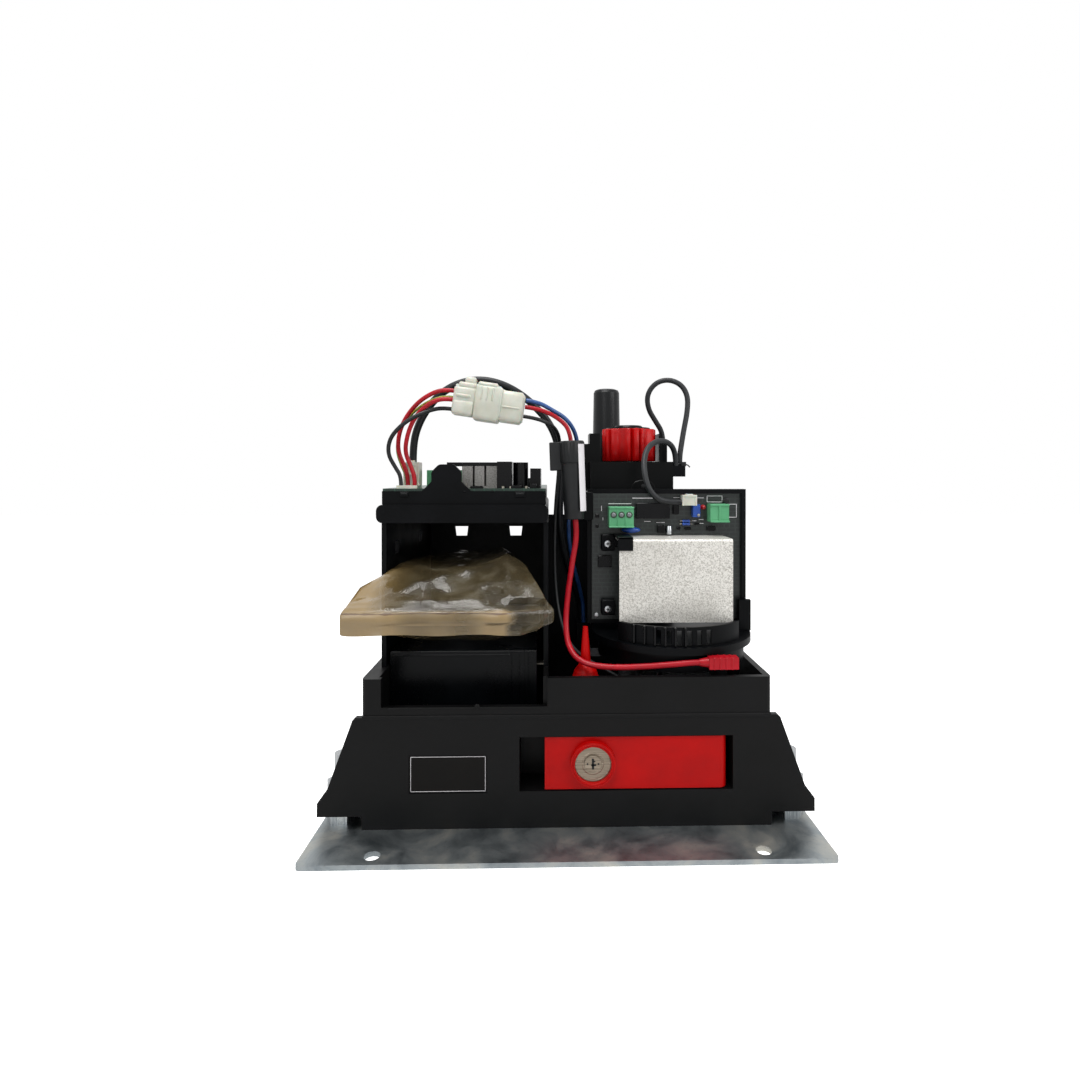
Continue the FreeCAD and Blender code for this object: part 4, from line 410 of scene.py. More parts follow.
def curvedStrip(inner, outer, fromDegrees, toDegrees, low, high, steps=14):
    # patch of a cylinder wall: a thin rectangle carried round the axis from one angle to the other
    turn = np.radians(np.linspace(fromDegrees, toDegrees, steps))[:, None]
    radius = np.array([inner, outer, outer, inner])[None]
    height = np.broadcast_to(np.array([low, low, high, high])[None], (steps, 4))
    return carry(np.stack([radius * np.cos(turn), radius * np.sin(turn), height], 2))


def routeObject(name, points):
    # quadratic spline whose control points are the route's own points, not yet in the scene
    curve = bpy.data.curves.new(name, "CURVE")
    curve.dimensions = "3D"
    curve.resolution_u = 10
    spline = curve.splines.new("NURBS")
    spline.points.add(len(points) - 1)
    spline.points.foreach_set("co", np.column_stack([points, np.ones(len(points))]).ravel())
    spline.order_u = 3
    spline.use_endpoint_u = True
    return bpy.data.objects.new(name, curve)


def shifted(shape, move):
    # a shape moved as a whole
    return shape[0] + np.array(move, float), shape[1]


def screwHead(centre, radius, height):
    # pan head facing the front: a rounded rim turned about Y
    profile = [(0.02, -height), (radius * 0.55, -height), (radius * 0.86, -0.85 * height),
               (radius, -0.45 * height), (radius, 0.0)]
    return lathe(profile, centre, "y", 24)


# harness joint and fuse: moulded shells that stand for their plain solids

plugJoint = {"centre": (-54.4, -60.0, 261.3), "tilt": 8.0,
             # low corner, high corner, corner radius, end rounding, drawn level and then tilted
             "plug": [((-71.9, -67.6, 251.4), (-58.0, -52.4, 269.4), 2.4, 0.8),
                      ((-71.4, -68.7, 251.2), (-58.6, -60.0, 260.6), 2.0, 0.7),
                      ((-69.6, -66.6, 268.0), (-58.2, -54.0, 272.4), 1.6, 0.8),
                      ((-71.8, -65.0, 263.2), (-61.0, -55.0, 270.8), 1.4, 0.7),
                      ((-66.2, -64.4, 271.0), (-59.4, -56.0, 276.4), 1.7, 0.9),
                      ((-70.2, -68.6, 262.6), (-60.8, -67.2, 264.4), 0.7, 0.4)],
             "socket": [((-58.2, -69.0, 249.6), (-42.2, -51.0, 272.6), 3.2, 1.0),
                        ((-43.4, -67.8, 250.8), (-27.3, -52.2, 270.8), 3.4, 1.9),
                        ((-57.4, -68.2, 270.8), (-44.6, -52.4, 274.0), 1.5, 0.9),
                        ((-44.0, -68.6, 252.0), (-41.2, -51.4, 271.8), 2.8, 0.9),
                        ((-54.9, -69.5, 262.4), (-53.9, -68.6, 271.0), 0.5, 0.3),
                        ((-51.3, -69.5, 262.4), (-50.3, -68.6, 271.0), 0.5, 0.3),
                        ((-47.7, -69.5, 262.4), (-46.7, -68.6, 271.0), 0.5, 0.3),
                        ((-41.0, -68.5, 259.6), (-29.6, -67.5, 260.8), 0.5, 0.4)]}
for nodeName, shellName, key in (("harness_plug", "plugShell", "plug"),
                                 ("harness_socket", "socketShell", "socket")):
    shells = [tilt(slab(low, high, corner, ease, "x"), plugJoint["centre"], "y", plugJoint["tilt"])
              for low, high, corner, ease in plugJoint[key]]
    makePiece(shellName, shells, naturalNylon, stands=[nodeName], sharp=50)
# dark cells on the plug's end: painted shade inside its contact cavities
plugCellShade = [((-72.2, -65.6 + 7.0 * i, 252.6 + 6.2 * j), (-71.4, -60.9 + 7.0 * i, 257.2 + 6.2 * j))
             for i in range(2) for j in range(3)]
makePiece("plugCellShade", [tilt(slab(*box, corner=2.0, ease=0.1), plugJoint["centre"], "y", plugJoint["tilt"])
                        for box in plugCellShade], fuseNylon)

# inline fuse holder: tapered body, wider cap with low ribs, strap lug and the bare tape flag
fuse = {"foot": (4.9, -54.4, 186.4), "tilt": -2.0, "ribs": 22,
        "profile": [(0.02, 0.0), (2.2, 0.0), (2.3, 0.9), (5.6, 0.9), (6.1, 0.2), (6.4, 0.5), (7.3, 35.8),
                    (7.3, 36.5), (7.9, 36.8), (8.15, 37.4), (8.15, 50.0), (7.6, 50.9), (5.2, 51.0),
                    (4.7, 50.0), (2.4, 49.6), (0.02, 49.6)]}


def onFuse(shape):
    # a shape drawn about the holder's own axis, set on its foot and leant over
    return tilt(shifted(shape, fuse["foot"]), fuse["foot"], "y", fuse["tilt"])


ribTurns = np.linspace(0, 360, fuse["ribs"], endpoint=False)
fuseShapes = [lathe(fuse["profile"], (0, 0, 0), "z", 56)]
fuseShapes += [curvedStrip(8.05, 8.3, turn - 3, turn + 3, 38.2, 49.6, 4) for turn in ribTurns]
fuseShapes.append(slab((-14.6, -2.4, 32.0), (-6.4, 2.6, 50.4), 1.0, 0.5))
makePiece("fuseHolder", [onFuse(shape) for shape in fuseShapes], fuseNylon,
                                    stands=["fuse_holder"])
makePiece("tapeFlag", [onFuse(curvedStrip(8.4, 8.55, -63, -24, 5.5, 48.6))], whitePaper)
print("harness joint and fuse: done")


# cords: the routes of the harness in millimetres, from where each leaves what holds it

cordRoutes = {
    "redWireUpper": {"node": "red_wire_upper", "diameter": 2.8, "length": 85, "material": redPvc,
                     "farEnd": "connector", "carries": ["harness_plug"], "turned": True, "points": [
        (-70.6, -63, 268.42), (-77.5, -63, 269.39), (-85.5, -62, 267.3), (-94.5, -60, 262),
        (-103, -57, 253), (-108.2, -55, 242.3), (-109.2, -54, 230.7), (-104.8, -53.3, 220.4),
        (-102.8, -53, 214), (-102.8, -53, 208.6)]},
    "redWireLower": {"node": "red_wire_lower", "diameter": 2.8, "length": 75, "material": redPvc,
                     "farEnd": "connector", "carries": ["harness_plug"], "turned": True, "points": [
        (-71.4, -64.5, 262.68), (-77.32, -64.5, 263.51), (-84.5, -64, 261.8), (-92, -63, 257),
        (-98, -61.5, 249.5), (-101.8, -60, 240.3), (-103.5, -59, 229.8), (-99.5, -58, 220),
        (-97.5, -57.5, 213.6), (-97.5, -57.5, 208.6)]},
    "earthWire": {"node": "green_wire", "diameter": 1.8, "length": 83, "material": greenPvc,
                  "farEnd": "connector", "carries": ["harness_plug"], "turned": True, "points": [
        (-71.1, -58.5, 264.86), (-77.01, -58.5, 265.69), (-84.5, -57.5, 264.3),
        (-94, -55.5, 259.8), (-103.3, -53, 252), (-109.5, -51.2, 241.5), (-110.8, -50, 230.5),
        (-107.6, -49.6, 221), (-104.4, -49.4, 214.2), (-104.4, -49.4, 208.6)]},
    "blackWireLeft": {"node": "black_wire_left", "diameter": 2.6, "length": 79, "material": blackPvc,
                      "farEnd": "connector", "carries": ["harness_plug"], "turned": True, "points": [
        (-72.18, -60, 257.13), (-79.08, -60, 258.1), (-86.5, -62.5, 256.4),
        (-95.5, -66, 252.3), (-104.5, -66.5, 246.2), (-111.8, -65, 238), (-113.6, -62, 228.5),
        (-109.6, -59, 220.2), (-106.2, -57.6, 214.4), (-106.2, -57.6, 208.6)]},
    "redWireRight": {"node": "red_wire_right", "diameter": 2.8, "length": 40, "material": redPvc,
                     "farEnd": "connector", "carries": ["fuse_holder"], "points": [
        (-26.93, -57.5, 258.95), (-20.03, -57.5, 257.98), (-11.9, -56.9, 255.4), (-4.3, -56, 251),
        (1.65, -55, 244.85), (2.56, -55, 237.44)]},
    "blueWire": {"node": "blue_wire", "diameter": 2.8, "length": 191, "material": bluePvc,
                 "farEnd": "connector", "carries": ["harness_socket"], "turned": True, "points": [
        (-26.3, -55.5, 263.41), (-18.41, -55.5, 262.3), (-9.5, -54, 257.4), (-0.4, -50, 252.5),
        (5.7, -45, 244.4), (8.0, -38, 234.1), (6.5, -32, 220), (3.5, -26, 202), (2, -19, 184),
        (3, -11, 164), (7, -3, 146), (12, 4, 128), (14, 6.5, 116), (14, 6.5, 106)]},
    "blackWireRight": {"node": "black_wire_right", "diameter": 2.4, "length": 248, "material": blackPvc,
                       "farEnd": "connector", "carries": ["harness_socket"], "turned": True, "points": [
        (-27.83, -62, 252.52), (-20.93, -62, 251.55), (-12.8, -58.5, 249), (-6.5, -51.5, 245.2),
        (-4, -43.6, 236.5), (-5, -40, 217), (-7.2, -38.5, 194), (-8, -38, 168),
        (-7.5, -40, 142), (-5, -45, 122), (0, -50, 107.5), (8, -53, 98.5), (19, -56, 92.5),
        (31, -58.8, 86.5), (42, -60, 81), (52, -60, 78.5), (60, -60, 84.6), (60, -60, 93)]},
    "redLead": {"node": "red_lead", "diameter": 3.6, "length": 175, "material": redPvc,
                "farEnd": "connector", "carries": ["red_terminal_boot"], "points": [
        (5.6, -54, 186.37), (6.82, -54, 176.47), (3.5, -54, 158), (0.5, -53.5, 136),
        (-1, -57.5, 117), (1.5, -66.5, 104.5), (10, -75.8, 98.6), (27, -79.2, 97.3),
        (47, -79.3, 97.8), (66, -79.6, 99.3), (76.5, -80.5, 100.5), (86.0, -80.5, 100.5)]},
    "sheathedCable": {"node": "sheathed_cable", "diameter": 5.0, "length": 293, "material": sheathPvc,
                      "farEnd": "object", "points": [
        (-102.2, -40, 223.6), (-102.2, -40, 233.6), (-99.5, -42, 245.8), (-92.5, -45.5, 258.2),
        (-82.5, -48, 269), (-70.5, -48.4, 275.6), (-58.1, -48, 278), (-45.0, -48, 276.0),
        (-32.6, -47, 270.3), (-21.5, -45, 261.6), (-11.5, -41, 250.7), (-5.4, -36, 237),
        (-3.5, -29, 219), (-4, -21.5, 199), (-4, -13, 179), (-1, -4, 160), (4.5, 5, 141),
        (10.5, 12, 124), (12.8, 14.6, 114.5), (12.8, 14.6, 106)]},
    "encoderCableUpper": {"node": "encoder_cable_upper", "diameter": 4.0, "length": 138,
                          "material": greyPvc, "farEnd": "object", "points": [
        (77.6, 31, 239), (77.6, 31, 248), (71, 28.5, 257.6), (65, 25.5, 266.5),
        (63.9, 23.5, 277.5), (70.4, 21.5, 286.4), (80.3, 19.5, 288.5), (89.5, 17.5, 284.2),
        (94, 15.5, 275), (93, 13.5, 262.5), (90, 11.5, 249.5), (87.5, 9.5, 236.5),
        (86.2, 8.5, 229), (86.2, 8.5, 222)]},
    "encoderCableLower": {"node": "encoder_cable_lower", "diameter": 4.0, "length": 105,
                          "material": greyPvc, "farEnd": "object", "points": [
        (82.3, 3.5, 222), (82.3, 3.5, 230.5), (77.5, -2, 238.5), (68, -9.5, 240.5),
        (59, -17, 236), (54.6, -24, 227), (54, -30.5, 216.5), (56, -34.5, 206),
        (61.8, -35, 199), (70.5, -33, 196.5), (79.2, -33, 196.5)]},
}
for cordName, route in cordRoutes.items():
    points = np.array(route["points"], float) * mm
    if route.get("turned"):
        points = points[::-1]
    cordPiece = routeObject(cordName, points)
    curve = cordPiece.data
    curve.bevel_depth = route["diameter"] * mm / 2
    curve.bevel_resolution = 5
    curve.use_fill_caps = True
    curve.materials.append(route["material"])
    scene.collection.objects.link(cordPiece)
    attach(cordPiece, "base")
    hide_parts(route["node"])
print("cords:", len(cordRoutes))

# earth wire's yellow stripe: a thin bead half sunk along its spline, on the side that shows
stripePath = routeObject("stripePath", np.array(cordRoutes["earthWire"]["points"], float))
sampled = bpy.data.meshes.new_from_object(stripePath)
stripeLine = np.empty(len(sampled.vertices) * 3)
sampled.vertices.foreach_get("co", stripeLine)
bpy.data.objects.remove(stripePath)
makePiece("earthStripe", [tube(stripeLine.reshape(-1, 3) + (0.0, -0.5, 0.12), 0.48, 8)], yellowPvc)

# plunger's return spring: a helix of fixed length; the lever's heel pushes the plunger inwards against it
coil = {"centre": (85.0, 45.0), "from": -42.0, "to": 13.0, "turns": 7, "middle": 5.8, "wire": 0.6}
coilTurn = np.linspace(0, 2 * math.pi * coil["turns"], 28 * coil["turns"])
helix = np.column_stack([coil["centre"][0] + coil["middle"] * np.cos(coilTurn),
                         np.linspace(coil["from"], coil["to"], len(coilTurn)),
                         coil["centre"][1] + coil["middle"] * np.sin(coilTurn)])
returnSpring = makePiece("returnSpring", [tube(helix, coil["wire"], 10, reference=(0.0, 1.0, 0.0))],
                         springWire, stands=["plunger_spring"])
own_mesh(returnSpring)


# film bag on the battery

def bagMaterial():
    # polythene bag film: clear over the battery, yellowed tan in the folded hem, milky along creases
    material, tree, shader, place = startMaterial("yellowedPolythene", IOR=1.5, Specular_IOR_Level=0.8,
                                                  Coat_Weight=0.4, Coat_Roughness=0.08)
    cloud = addNode(tree, "TexNoise", {"Vector": place, "Scale": per(26), "Detail": 5.0,
                                       "Roughness": 0.6, "Distortion": 0.5})
    tones = addNode(tree, "ValToRGB", {"Fac": cloud.outputs["Fac"]})
    rampStops(tones, ((0.32, "4C412C"), (0.52, "655A42"), (0.74, "8E8672")))
    axes = addNode(tree, "SeparateXYZ", {"Vector": place})
    hem = addNode(tree, "MapRange", {"Value": axes.outputs["Y"], "From Min": -0.104,
                                     "From Max": -0.107, "To Min": 0.0, "To Max": 1.0})
    # layers of film lie on each other where the bag gathers at its left end
    gathered = addNode(tree, "MapRange", {"Value": axes.outputs["X"], "From Min": -0.094,
                                          "From Max": -0.117, "To Min": 0.0, "To Max": 0.94})
    tan = addNode(tree, "Math", {0: hem.outputs["Result"], 1: gathered.outputs["Result"]},
                  operation="MAXIMUM")
    tanned = addNode(tree, "Mix", {"Factor": tan.outputs["Value"], "A": tones.outputs["Color"],
                                   "B": linear("8C7448")}, data_type="RGBA")
    # painted shade along the crease: a thin broken brown line at its height
    wander = addNode(tree, "TexNoise", {"Vector": place, "Scale": per(9), "Detail": 3.0})
    height = addNode(tree, "Math", {0: axes.outputs["Z"], 1: 0.1366}, operation="SUBTRACT")
    near = addNode(tree, "Math", {0: height.outputs["Value"]}, operation="ABSOLUTE")
    width = addNode(tree, "MapRange", {"Value": wander.outputs["Fac"], "From Min": 0.4,
                                       "From Max": 0.75, "To Min": 0.0002, "To Max": 0.0008})
    creaseShade = addNode(tree, "Math", {0: near.outputs["Value"], 1: width.outputs["Result"]},
                   operation="LESS_THAN")
    band = addNode(tree, "MapRange", {"Value": axes.outputs["Y"], "From Min": -0.096,
                                      "From Max": -0.1, "To Min": 0.0, "To Max": 1.0})
    seam = addNode(tree, "Math", {0: creaseShade.outputs["Value"], 1: band.outputs["Result"]},
                   operation="MULTIPLY")
    coloured = addNode(tree, "Mix", {"Factor": seam.outputs["Value"], "A": tanned.outputs["Result"],
                                     "B": linear("5A3F1E")}, data_type="RGBA")
    # cover: clear film at the back, milky at grazing angles, nearly opaque in the folded hem
    rim = addNode(tree, "LayerWeight", {"Blend": 0.3})
    milk = addNode(tree, "MapRange", {"Value": cloud.outputs["Fac"], "From Min": 0.35,
                                      "From Max": 0.7, "To Min": 0.16, "To Max": 0.42})
    veil = addNode(tree, "Math", {0: rim.outputs["Facing"], 1: milk.outputs["Result"]},
                   operation="ADD")
    clear = addNode(tree, "MapRange", {"Value": axes.outputs["Y"], "From Min": -0.03,
                                       "From Max": -0.09, "To Min": 0.18, "To Max": 0.78})
    thin = addNode(tree, "Math", {0: veil.outputs["Value"], 1: clear.outputs["Result"]},
                   operation="MULTIPLY", use_clamp=True)
    layered = addNode(tree, "Math", {0: thin.outputs["Value"], 1: gathered.outputs["Result"]},
                      operation="MAXIMUM")
    cover = addNode(tree, "Mix", {"Factor": hem.outputs["Result"], "A": layered.outputs["Value"],
                                  "B": 0.9}, data_type="FLOAT")
    tree.links.new(cover.outputs["Result"], shader.inputs["Alpha"])
    gloss = addNode(tree, "MapRange", {"Value": hem.outputs["Result"], "To Min": 0.16,
                                       "To Max": 0.42})
    tree.links.new(gloss.outputs["Result"], shader.inputs["Roughness"])
    crinkle = addNode(tree, "TexNoise", {"Vector": place, "Scale": per(9), "Detail": 3.0,
                                         "Distortion": 1.5})
    dress(tree, shader, coloured.outputs["Result"], relief=(crinkle.outputs["Fac"], 0.5, 0.7))
    return material


film = bagMaterial()
bag = {"around": 152, "along": 96,
       "y": (-108.0, -107.9, -106.6, -98.0, -84.0, -66.0, -40.0, -5.0, 25.0, 40.0),
       "left": (-129.0, -129.5, -129.6, -127.6, -124.6, -114.6, -113.8, -113.6, -111.0, -101.0),
       "right": (-10.6, -9.4, -8.6, -13.0, -19.0, -25.0, -31.0, -33.0, -35.0, -42.0),
       "low": (129.6, 124.3, 124.0, 122.6, 119.4, 112.6, 104.2, 102.9, 103.2, 106.0),
       "high": (131.4, 137.0, 137.8, 143.6, 151.8, 159.4, 161.6, 161.8, 159.0, 146.0),
       "seam": (0.5, 0.5, 0.6, 0.85, 0.88, 0.86, 0.8, 0.7, 0.6, 0.5),
       "square": (16.0, 16.0, 14.0, 7.0, 6.0, 5.5, 5.0, 4.5, 4.0, 3.0)}


def bagShell(bag):
    # rings of a flat bag along Y: a square's outline drawn in to |x|^n + |z|^n = 1, stretched to the
    # bag's own left, right, low and high lines, with folds as sums of sines that fade at the seams
    share = np.linspace(0, 1, bag["along"]) ** 2.2
    y = bag["y"][0] + share * (bag["y"][-1] - bag["y"][0])
    y[1:4] = bag["y"][0] + np.array([0.1, 0.7, 1.4])
    at = {key: np.interp(y, bag["y"], bag[key])[:, None]
          for key in ("left", "right", "low", "high", "seam", "square")}
    edge = np.linspace(-1, 1, bag["around"] // 4, endpoint=False)
    flat = np.ones(len(edge))
    a = np.concatenate([flat, -edge, -flat, edge])[None]
    b = np.concatenate([edge, flat, -edge, -flat])[None]
    draw = (np.abs(a) ** at["square"] + np.abs(b) ** at["square"]) ** (-1 / at["square"])
    across, rise = a * draw, b * draw
    x = (at["left"] + at["right"]) / 2 + across * (at["right"] - at["left"]) / 2
    seam = at["low"] + at["seam"] * (at["high"] - at["low"])
    z = seam + rise * np.where(rise > 0, at["high"] - seam, seam - at["low"])
    back = y[:, None]
    free = np.clip((back + 104) / 14, 0, 1)
    lid = np.clip(rise, 0, 1) * free
    folds = (1.1 * np.sin(0.085 * x + 0.05 * back + 1.0) + 0.8 * np.sin(0.19 * x - 0.13 * back)
             + 0.5 * np.sin(0.31 * x + 0.27 * back + 2.0) + 0.3 * np.sin(0.6 * x - 0.45 * back))
    # a sharp fold runs from the hem's left end up to the right shoulder, another from there down
    lean = (back + 103) - (x + 129) * 0.47
    shoulder = 3.0 * np.exp(-np.abs(lean) / 4.5) * np.clip((x + 124) / 20, 0, 1)
    shoulder = shoulder * np.clip((-30 - x) / 8, 0, 1)
    drop = 3.4 * np.exp(-np.abs(x + 38 + 0.12 * (back + 66)) / 4.0)
    z = z + lid * (folds * 0.7 + 0.06 * (x + 66) + shoulder + drop - 2.2)
    z = z - np.clip(-rise, 0, 1) * free * (0.4 * folds - 0.6)
    # the hem hangs in shallow waves, pinched where a fold runs up, and its right end turns back
    hem = np.clip((-98 - back) / 6, 0, 1)
    turned = np.clip((x + 38) / 28, 0, 1)
    wave = 0.9 * np.sin(0.075 * x + 0.6) + 0.5 * np.sin(0.19 * x) - 1.4 * np.exp(-((x + 39) / 3.5) ** 2)
    y = back + hem * (wave * 0.7 + 1.4 + turned ** 1.3 * 12.0)
    z = z + hem * (turned * np.where(rise > 0, -0.6, -2.2) + 0.4 * np.sin(0.12 * x + 1.0) * (rise < 0))
    # below the crease the right end is cut back to a point at the crease
    point = np.clip(across, 0, 1) ** 4 * np.clip(-rise, 0, 1) * np.clip((-96 - back) / 8, 0, 1)
    x = x - 17.0 * point
    return carry(np.stack([x, y + 0 * x, z], 2))


bagPiece = makePiece("filmBag", [bagShell(bag)], film, sharp=70, stands=["film_pouch"])
print("film bag: done")


# battery's front end: the lid's seam, the lip across the case and two ribs on the lid

batteryEnd = [((-35.9, -56.35, 37.4), (-35.3, -55.8, 101.6)), ((-113.2, -56.4, 98.6), (-36.2, -55.8, 99.6)),
              ((-31.5, -56.5, 38.0), (-30.3, -55.8, 101.4)), ((-25.2, -56.5, 38.0), (-24.4, -55.8, 101.4))]
makePiece("batteryRibs", slabs(batteryEnd, 0.2, 0.15), batteryAbs)


# charger card: the parts that stand on its face (y -29), and the marks printed on it

cardFace = -29.0
cardBlack = [((48.0, -34.0, 185.4), (71.0, cardFace, 196.0)), ((63.0, -33.0, 175.4), (67.8, cardFace, 180.8)),
             ((97.3, -31.2, 176.9), (103.2, cardFace, 180)), ((76.6, -31.0, 177.6), (79.0, cardFace, 179.6)),
             ((20.4, -30.2, 186.0), (23.0, cardFace, 188.4)), ((20.6, -30.0, 179.0), (22.6, cardFace, 181.4)),
             ((73.6, -32.4, 188.2), (77.6, cardFace, 197.2)), ((82.0, -30.6, 177.4), (86.4, cardFace, 179.2)),
             ((89.0, -30.4, 180.8), (92.2, cardFace, 182.2)), ((22.0, -31.6, 152.0), (31.5, cardFace, 160.0))]
makePiece("cardChips", slabs(cardBlack, 0.4, 0.3, "y"), glossBlack)
clampPads = [((24.0, -34.2, 163.4), (33.4, cardFace, 174.8)), ((33.0, -33.2, 166.0), (43.0, cardFace, 174.4)),
             ((24.0, -34.2, 119.6), (33.8, cardFace, 130.2))]
makePiece("clampPads", slabs(clampPads, 1.2, 0.6, "y"), blackTray)
# clamp arm folded over the sheet's upper left corner
clampArm = [((32.8, -58.4, 173.7), (42.8, -33.4, 175.2)), ((32.8, -58.4, 166.2), (42.8, -57.1, 175.0))]
makePiece("clampArm", slabs(clampArm, 0.5, 0.3), blackTray)
clampAt = {"x": 28.4, "face": -34.2, "z": (168.4, 123.9)}
makePiece("clampScrews", [screwHead((clampAt["x"], clampAt["face"], z), 2.5, 1.5) for z in clampAt["z"]]
          + [screwHead((21.2, cardFace, 118.9), 1.7, 0.8)], zincScrew)
makePiece("cornerPlug", [screwHead((110.8, cardFace, 197.4), 2.3, 0.9)], fuseNylon)
# dark crosses on the clamp screws: painted shade in their cross recesses
clampCrossShade = [((clampAt["x"] - half, -35.9, z - tall), (clampAt["x"] + half, -35.5, z + tall))
              for z in clampAt["z"] for half, tall in ((1.1, 0.35), (0.35, 1.1))]
makePiece("clampSocketShade", slabs(clampCrossShade, 0.3, 0.1, "y"), fuseNylon)
makePiece("trimmer", [slab((86.8, -34.4, 186.4), (91.9, cardFace, 195.2), 0.4, 0.3, "y")], blueResin)
makePiece("trimmerScrew", [screwHead((90.6, -34.4, 187.8), 1.0, 0.7)], tinnedBrass)
indicator = [(0.02, -5.3), (0.7, -5.1), (1.25, -4.5), (1.5, -3.4), (1.5, -1.1), (1.75, -1.0), (1.75, 0)]
makePiece("indicator", [lathe(indicator, (94.6, cardFace, 193.0), "y", 24)], redResin)
# varistor: a flattened ball dipped in resin, lying beside its terminal
ballTurn = np.linspace(0.04, math.pi - 0.04, 14)
varistor = lathe(np.column_stack([np.sin(ballTurn), -np.cos(ballTurn)]), (0, 0, 0), "z", 32)
makePiece("varistor", [(varistor[0] * (6.6, 3.2, 2.1) + (44.4, -32.6, 177.6), varistor[1])], blueResin)
makePiece("crystalCan", [lathe([(0.02, 174.6), (2.0, 174.6), (2.0, 179.6), (1.6, 180.3), (0.02, 180.4)],
                               (70.8, -31.6, 0), "z", 24)], zincScrew)
resistors = [lathe([(0.02, 0), (0.8, 0.1), (1.05, 0.7), (0.85, 1.4), (0.85, 3.9), (1.05, 4.6), (0.8, 5.2),
                    (0.02, 5.3)], (80.2, -30.6, z), "x", 16) for z in (181.4, 183.5)]
makePiece("resistors", resistors, blueResin)
leads = [tube([(x, -29.4, z), (x + 0.4, -30.4, z), (x + 1.4, -30.6, z), (x + 2.4, -30.6, z)], 0.25, 8)
         for x in (78.4, 84.9) for z in (181.4, 183.5)]
makePiece("resistorLeads", leads, tinnedBrass)
# terminals: round screw wells
screwRow = {"x": (31.9, 37.2, 42.5), "z": 188.4}
wells = [lathe([(0.02, -0.36), (1.95, -0.35), (2.25, -0.3), (2.25, 0)], (x, -40.0, screwRow["z"]), "y", 24)
         for x in screwRow["x"]]
makePiece("terminalWells", wells, terminalShade)
makePiece("terminalScrews", [screwHead((x, -40.3, screwRow["z"]), 1.35, 0.4) for x in screwRow["x"]],
          springWire)
terminalLips = [((28.8, -40.8, 192.6), (45.7, -39.8, 193.8)), ((28.8, -41.6, 179.8), (45.7, -39.8, 180.9)),
                ((97.5, -40.0, 194.3), (110.5, -38.8, 195.6)), ((97.5, -40.6, 183.2), (110.5, -38.8, 184.4)),
                ((103.4, -39.8, 184.0), (104.6, -38.8, 194.6)), ((34.2, -40.5, 181.0), (34.9, -39.8, 192.8)),
                ((39.5, -40.5, 181.0), (40.2, -39.8, 192.8))]
makePiece("terminalLips", slabs(terminalLips, 0.3, 0.2, "y"), terminalGreen)
socketWalls = [((79.0, -37.6, 200.4), (89.0, -36.8, 201.7)), ((79.0, -37.6, 194.3), (80.2, -36.8, 201.0)),
               ((87.8, -37.6, 194.3), (89.0, -36.8, 201.0)), ((81.6, -37.4, 201.3), (86.4, -31.0, 202.2))]
makePiece("socketWalls", slabs(socketWalls, 0.3, 0.2), naturalNylon)
# printed marks: outlines and ticks only, 0.06 mm thick, as left, bottom, right and top edges
markEdges = [(97.6, 200.5, 108.4, 200.9), (97.6, 196.4, 108.4, 196.8), (97.6, 196.4, 98.0, 200.9),
             (108.0, 196.4, 108.4, 200.9), (46.0, 199.0, 62.0, 199.5), (29.4, 195.2, 45.2, 195.6),
             (74.4, 199.4, 78.6, 199.8), (90.0, 199.2, 95.6, 199.6), (111.8, 186.0, 112.2, 195.0),
             (118.0, 186.0, 118.4, 195.0), (111.8, 194.8, 118.4, 195.2), (111.8, 185.8, 118.4, 186.2),
             (62.6, 182.2, 68.4, 182.6), (87.4, 183.4, 90.4, 183.8), (92.0, 184.2, 95.2, 184.6),
             (92.0, 181.6, 95.2, 182.0), (24.4, 190.4, 24.8, 194.0), (25.4, 184.0, 25.8, 186.0),
             (54.2, 183.0, 58.6, 183.4)]
prints = [((x0, cardFace - 0.06, z0), (x1, cardFace, z1)) for x0, z0, x1, z1 in markEdges]
makePiece("printedMarks", slabs(prints, 0.05, 0.01, "y"), whitePaper)
grilleRibs = []
for x in (42.0, 48.1, 54.2, 60.4, 66.5, 72.7):
    face = -27.0 - math.sqrt(50.2 ** 2 - (x - 72.2) ** 2)
    grilleRibs.append(slab((x - 0.7, face - 1.6, 109.2), (x + 0.7, face + 0.6, 121.2), 0.5, 0.5))
makePiece("grilleRibs", grilleRibs, glossBlack)
# folded tab of the bracket beside the card
makePiece("bracketTab", [slab((11.4, -31.0, 184.0), (18.8, -28.6, 203.6), 1.6, 0.4, "y")], blackTray)
print("charger card: done")


# controller on the tray: clips of its case, header ribs, pins and small board parts

caseClips = [((-105.8, -64.0, 201.2), (-100.2, -62.9, 204.6)), ((-33.2, -64.0, 201.0), (-26.6, -62.9, 204.6)),
             ((-66.0, -63.4, 204.2), (-64.0, -62.9, 205.2)), ((-48.4, -63.4, 204.2), (-46.4, -62.9, 205.2))]
makePiece("caseClips", slabs(caseClips, 0.4, 0.3, "y"), blackTray)
# dark strips in the case clips: painted shade in their slots
caseSlotShade = [((-105.0, -64.1, 203.0), (-101.0, -63.9, 203.9)), ((-32.4, -64.1, 203.0), (-27.4, -63.9, 203.9))]
makePiece("caseSlotShade", slabs(caseSlotShade, 0.1, 0.05, "y"), fuseNylon)
headerRibs = [((-107.3 + 3.2 * i, -46.7, 208.0), (-106.5 + 3.2 * i, -45.8, 223.9)) for i in range(4)]
headerRibs += [((-107.2, -46.5, 215.0), (-97.2, -45.9, 216.0)),
               ((-105.2, -46.9, 221.6), (-99.6, -45.6, 224.8))]
makePiece("headerRibs", slabs(headerRibs, 0.3, 0.2), naturalNylon)
boardPins = [((-78.0 + 2.54 * i, -54.4, 206.4), (-77.3 + 2.54 * i, -53.7, 209.8)) for i in range(6)]
boardPins += [((-42.0 + 5.0 * i, -55.0, 206.4), (-40.4 + 5.0 * i, -54.2, 208.0)) for i in range(4)]
makePiece("boardPins", slabs(boardPins, 0.1, 0.1), tinnedBrass)
